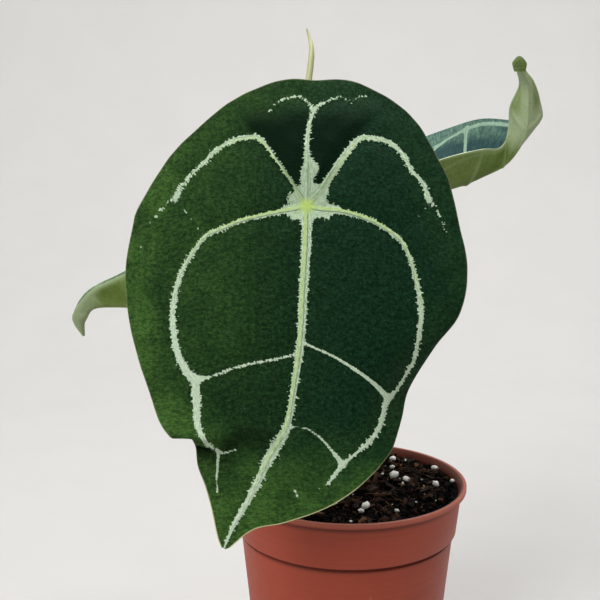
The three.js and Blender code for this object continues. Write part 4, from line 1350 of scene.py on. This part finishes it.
# %% Rails of the smaller blades
RIGHT_RAILS = {
    "near": [(2.4, 0.6, 191.6), (9.5, -10.5, 195.1), (18.7, -13.1, 197.3), (34.3, -10.1, 202.4),
             (46.9, -2.6, 204.7), (54.8, 2.6, 205.3), (58.1, 6.8, 211.6), (58.9, 9.4, 219.6),
             (62.1, 10.2, 227.2), (60.6, 7.6, 232.4), (58.9, 3.8, 235.2), (57.5, 0.2, 234.6),
             (58.0, -0.5, 232)],
    "midrib": [(2.6, 6.1, 191.9), (9.7, 6.5, 188), (19.8, 7.3, 186.8), (38.2, 8, 190.4), (49.3, 8.8, 194.6),
               (57.8, 5.8, 199.8), (63, 2.5, 209.3), (64.2, 4.6, 219.4), (64, 6.2, 227), (61.8, 6, 232.4),
               (60.4, 3.6, 236.8), (60, -0.2, 236.4), (60, -0.9, 231.8)],
    "far": [(2.8, 11.6, 192.2), (12.2, 27.9, 199.2), (22.2, 33, 204.4), (38.7, 32.1, 210.8),
            (51.3, 24.8, 214.9), (63.8, 16.5, 214.3), (71.3, 13.6, 215.1), (70.3, 13.4, 222.5),
            (67.4, 10.6, 228.6), (63.6, 7.6, 232.6), (62, 3.8, 235.2), (62.4, 0.2, 234.6),
            (61.9, -0.5, 232)],
}
LEFT_RAILS = {
    "near": [(-38.6, 24.6, 148.1), (-44, 17.8, 155.6), (-51.4, 14.6, 159.9), (-73.8, 20.6, 159.8),
             (-91.2, 27.4, 152.4), (-102, 29, 146.4), (-107.6, 27.4, 139.1), (-107.5, 27.6, 134.7),
             (-104.6, 28.9, 129.6)],
    "midrib": [(-37.7, 27.9, 144.3), (-43.6, 27.5, 142), (-51.9, 27.3, 140.8), (-73.5, 29.4, 141),
               (-92.1, 31.5, 141.3), (-100.4, 31.3, 140.4), (-103.4, 30.5, 136.3), (-104.3, 30.2, 133.8),
               (-104.1, 30.1, 129.3)],
    "far": [(-39.1, 34.6, 147.1), (-46.5, 43.8, 153), (-55, 48.5, 156.4), (-78.8, 48.5, 156.4),
            (-94.4, 42.4, 150.9), (-103.8, 37.4, 146), (-108.6, 34.8, 138.7), (-108.2, 33, 134.1),
            (-104.6, 31.3, 129.6)],
}
KNOT_SHARE = {"right": 2 / 9, "left": 2 / 8}
UNROLLED = {"right": 9 / 12, "left": 1.0}


def small_veins(knot, cross):
    """The vein pattern of a small blade, as (u, v) points: midrib, arches to each side, cross veins."""
    veins = [([(0, 0.03), (0, knot)], 0.4), ([(0, knot), (0, 0.97)], 0.8)]
    for side, slope in ((-1, 0.025), (1, 0.008)):
        arch = [(0, knot), (0.3, knot + 0.01), (0.66, knot + 0.05), (0.85, knot + 0.09),
                (0.92, knot + 0.16),
                (0.94, 0.48), (0.9, 0.62), (0.78, 0.78), (0.5, 0.9)]
        veins.append(([(side * u, v) for u, v in arch], 0.42))
        lobe = [(0, knot), (0.3, knot - 0.06), (0.6, knot - 0.08), (0.8, knot - 0.03), (0.86, knot + 0.1)]
        veins.append(([(side * u, v) for u, v in lobe], 0.35))
        for start in cross:
            veins.append(([(side * 0.93, start + 3 * slope), (side * 0.45, start + slope), (0, start)],
                          0.65))
    return veins


print("rails of the two smaller blades are ready")

# %% Make the smaller blades
def folded_blade(name, rails, knot, unrolled, cross, columns, rows, facing, thickness=0.5):
    """unrolled is the share of the rails' stations before the curl of the tip."""
    to_station, length = evenly(rails["midrib"])

    def formula(u, v):
        station = to_station(v)
        near, middle, far = (along(rails[key], station) for key in ("near", "midrib", "far"))
        return middle + u[:, None] * (far - near) / 2 + (u ** 2)[:, None] * ((near + far) / 2 - middle)

    def flat_place(u, station):
        """The place of (u, station) on the blade laid flat, in millimetres."""
        near, middle, far = (along(rails[key], station) for key in ("near", "midrib", "far"))
        half = (np.linalg.norm(near - middle, axis=1) + np.linalg.norm(far - middle, axis=1)) / 2
        walked = np.interp(station, to_station(np.linspace(0, 1, 300)), np.linspace(0, length, 300))
        return np.column_stack([u * half, -walked])

    piece = shaped_grid(name, columns, rows, formula, facing=facing)
    u, v, _ = read(piece, "sheet_uv").T
    flat = flat_place(u, to_station(v))
    veins = []
    for points, half in small_veins(knot, cross):
        line = along(points, np.linspace(0, 1, 40))
        veins.append({"points": flat_place(line[:, 0], line[:, 1] * unrolled), "ragged": (0.08, 0.15),
                      "half": [(0, half), (0.6, half * 0.8), (1, half * 0.4)], "glow": (0.2, 0)})
    band, look, nearest = measure_veins(flat[:, 0], flat[:, 1], veins)
    edge = np.abs(1 - np.abs(u)) * np.abs(flat_place(np.ones_like(v), to_station(v))[:, 0])
    knot_place = flat_place(np.zeros(1), np.array([knot * unrolled]))[0]
    store(piece, "band", band)
    store(piece, "band_look", look)
    store(piece, "leaf_place", np.column_stack([flat - knot_place, edge]))
    fade = np.clip(np.sin(np.pi * v), 0, 1) ** 0.4
    rib = 0.5 * np.exp(-(nearest / 1.1) ** 2) * fade * np.clip(edge / 3, 0, 1)
    store(piece, "rib", np.column_stack([rib, 0 * rib, 0 * rib]))
    three_faces(piece)
    blade_thickness(piece, thickness)
    return piece


FACE_UP = (0, 0, 1)
right_blade = folded_blade("right_blade", RIGHT_RAILS, KNOT_SHARE["right"], UNROLLED["right"],
                           (0.37, 0.53, 0.69), 96, 260, FACE_UP)
left_blade = folded_blade("left_blade", LEFT_RAILS, KNOT_SHARE["left"], UNROLLED["left"],
                          (0.36, 0.54, 0.7), 80, 160, FACE_UP)

# %% [markdown]
# The right leaf has opened further and its upper face is turning teal, while the left one is still a
# soft grey-green, so each has paints of its own. The undersides are alike: olive, with painted shade
# in the hollows and painted light where the sheet bends.

# %% Finishes of the smaller blades
WHOLE = {"edge_light": (6, 2.5), "side_light": (300, 200), "shine": 0.12}
young_upper = upper_face(
    "teal_young_leaf", deep=paint(34, 62, 64), plain=paint(76, 108, 100), cool=paint(62, 98, 94),
    sunny=paint(112, 146, 128), silver=paint(136, 168, 146), pale=paint(162, 190, 168),
    glow_colour=paint(150, 178, 146), glow_line=paint(100, 130, 104), dusky=paint(140, 168, 146),
    tip=paint(100, 116, 60), **WHOLE)
soft_upper = upper_face(
    "soft_young_leaf", deep=paint(84, 106, 78), plain=paint(112, 134, 100), cool=paint(104, 128, 96),
    sunny=paint(130, 150, 112), silver=paint(136, 158, 122), pale=paint(150, 170, 132),
    glow_colour=paint(150, 170, 130), glow_line=paint(100, 124, 84), dusky=paint(136, 158, 122), **WHOLE)
young_under = under_face(
    "olive_leaf_underside", deepest=paint(70, 90, 28), dark=paint(99, 119, 55), light=paint(120, 140, 77),
    vein_colour=paint(168, 184, 142), net_share=0.05, vein_share=0.2, fold=0.6, soft=paint(154, 168, 132),
    shine=0.08)
young_rim = rim_finish("young_leaf_rim", paint(164, 184, 142), paint(196, 212, 172))
finished(right_blade, [young_upper, young_under, young_rim], "pale_leaf", "blade_right")
finished(left_blade, [soft_upper, young_under, young_rim], "pale_leaf", "blade_left")

# %% [markdown]
# ## The newest leaf
#
# The newest leaf is still rolled up into a thin spike. It is a tube with a spiral section: the sheet
# goes once round and ends further out than it starts, so one margin lies over the other and leaves a
# fine seam.

# %% Roll up the newest leaf
YOUNG_ROUTE = [(-12.6, 5.4, 164), (-15, 5.8, 190), (-16.5, 7.4, 214.8), (-14.8, 11.1, 229.2),
               (-13.7, 15.2, 240.1), (-15.3, 21.7, 248)]


def spike_radius(v):
    return np.interp(v, [0, 0.005, 0.12, 0.35, 0.6, 0.85, 1], [0.6, 1.3, 2.1, 2.3, 1.4, 1.05, 0.3])


def spiral(u, v):
    return 0.86 + 0.14 * (u + 1) + 0.03 * np.sin(14 * v + 3 * u)


spike = tube("newest_leaf", YOUNG_ROUTE, spike_radius, around=40, rings=140, section=spiral)
apply_modifier(spike, "SOLIDIFY", thickness=0.35 * MM, offset=-1)
alone(spike)
bpy.ops.object.shade_smooth_by_angle(angle=math.radians(50))

spike_green, spike_shader = new_finish("newest_leaf_green")
u_place, v_place, run = parts_of(stored("sheet_uv"))
streaks = clouds(vector_of(u_place * 6.0, run * 0.05), 1.5, detail=4)
colour = blend(between(streaks, 0.35, 0.65), paint(150, 158, 98), paint(196, 200, 150))
# Painted light: one half of the rolled spike is paler, as its lit side.
colour = blend(between(u_place, -0.15, 0.0, 0, 0.4), colour, paint(206, 208, 164))
colour = blend(between(v_place, 0.9, 1.0, 0, 0.5), colour, paint(120, 116, 62))
feed(spike_shader.inputs["Base Color"], colour)
feed(spike_shader.inputs["Roughness"], between(streaks, 0.3, 0.7, 0.42, 0.56))
relief(spike_shader, streaks, 0.1)
finished(spike, [spike_green], "young_leaf", "blade_young")
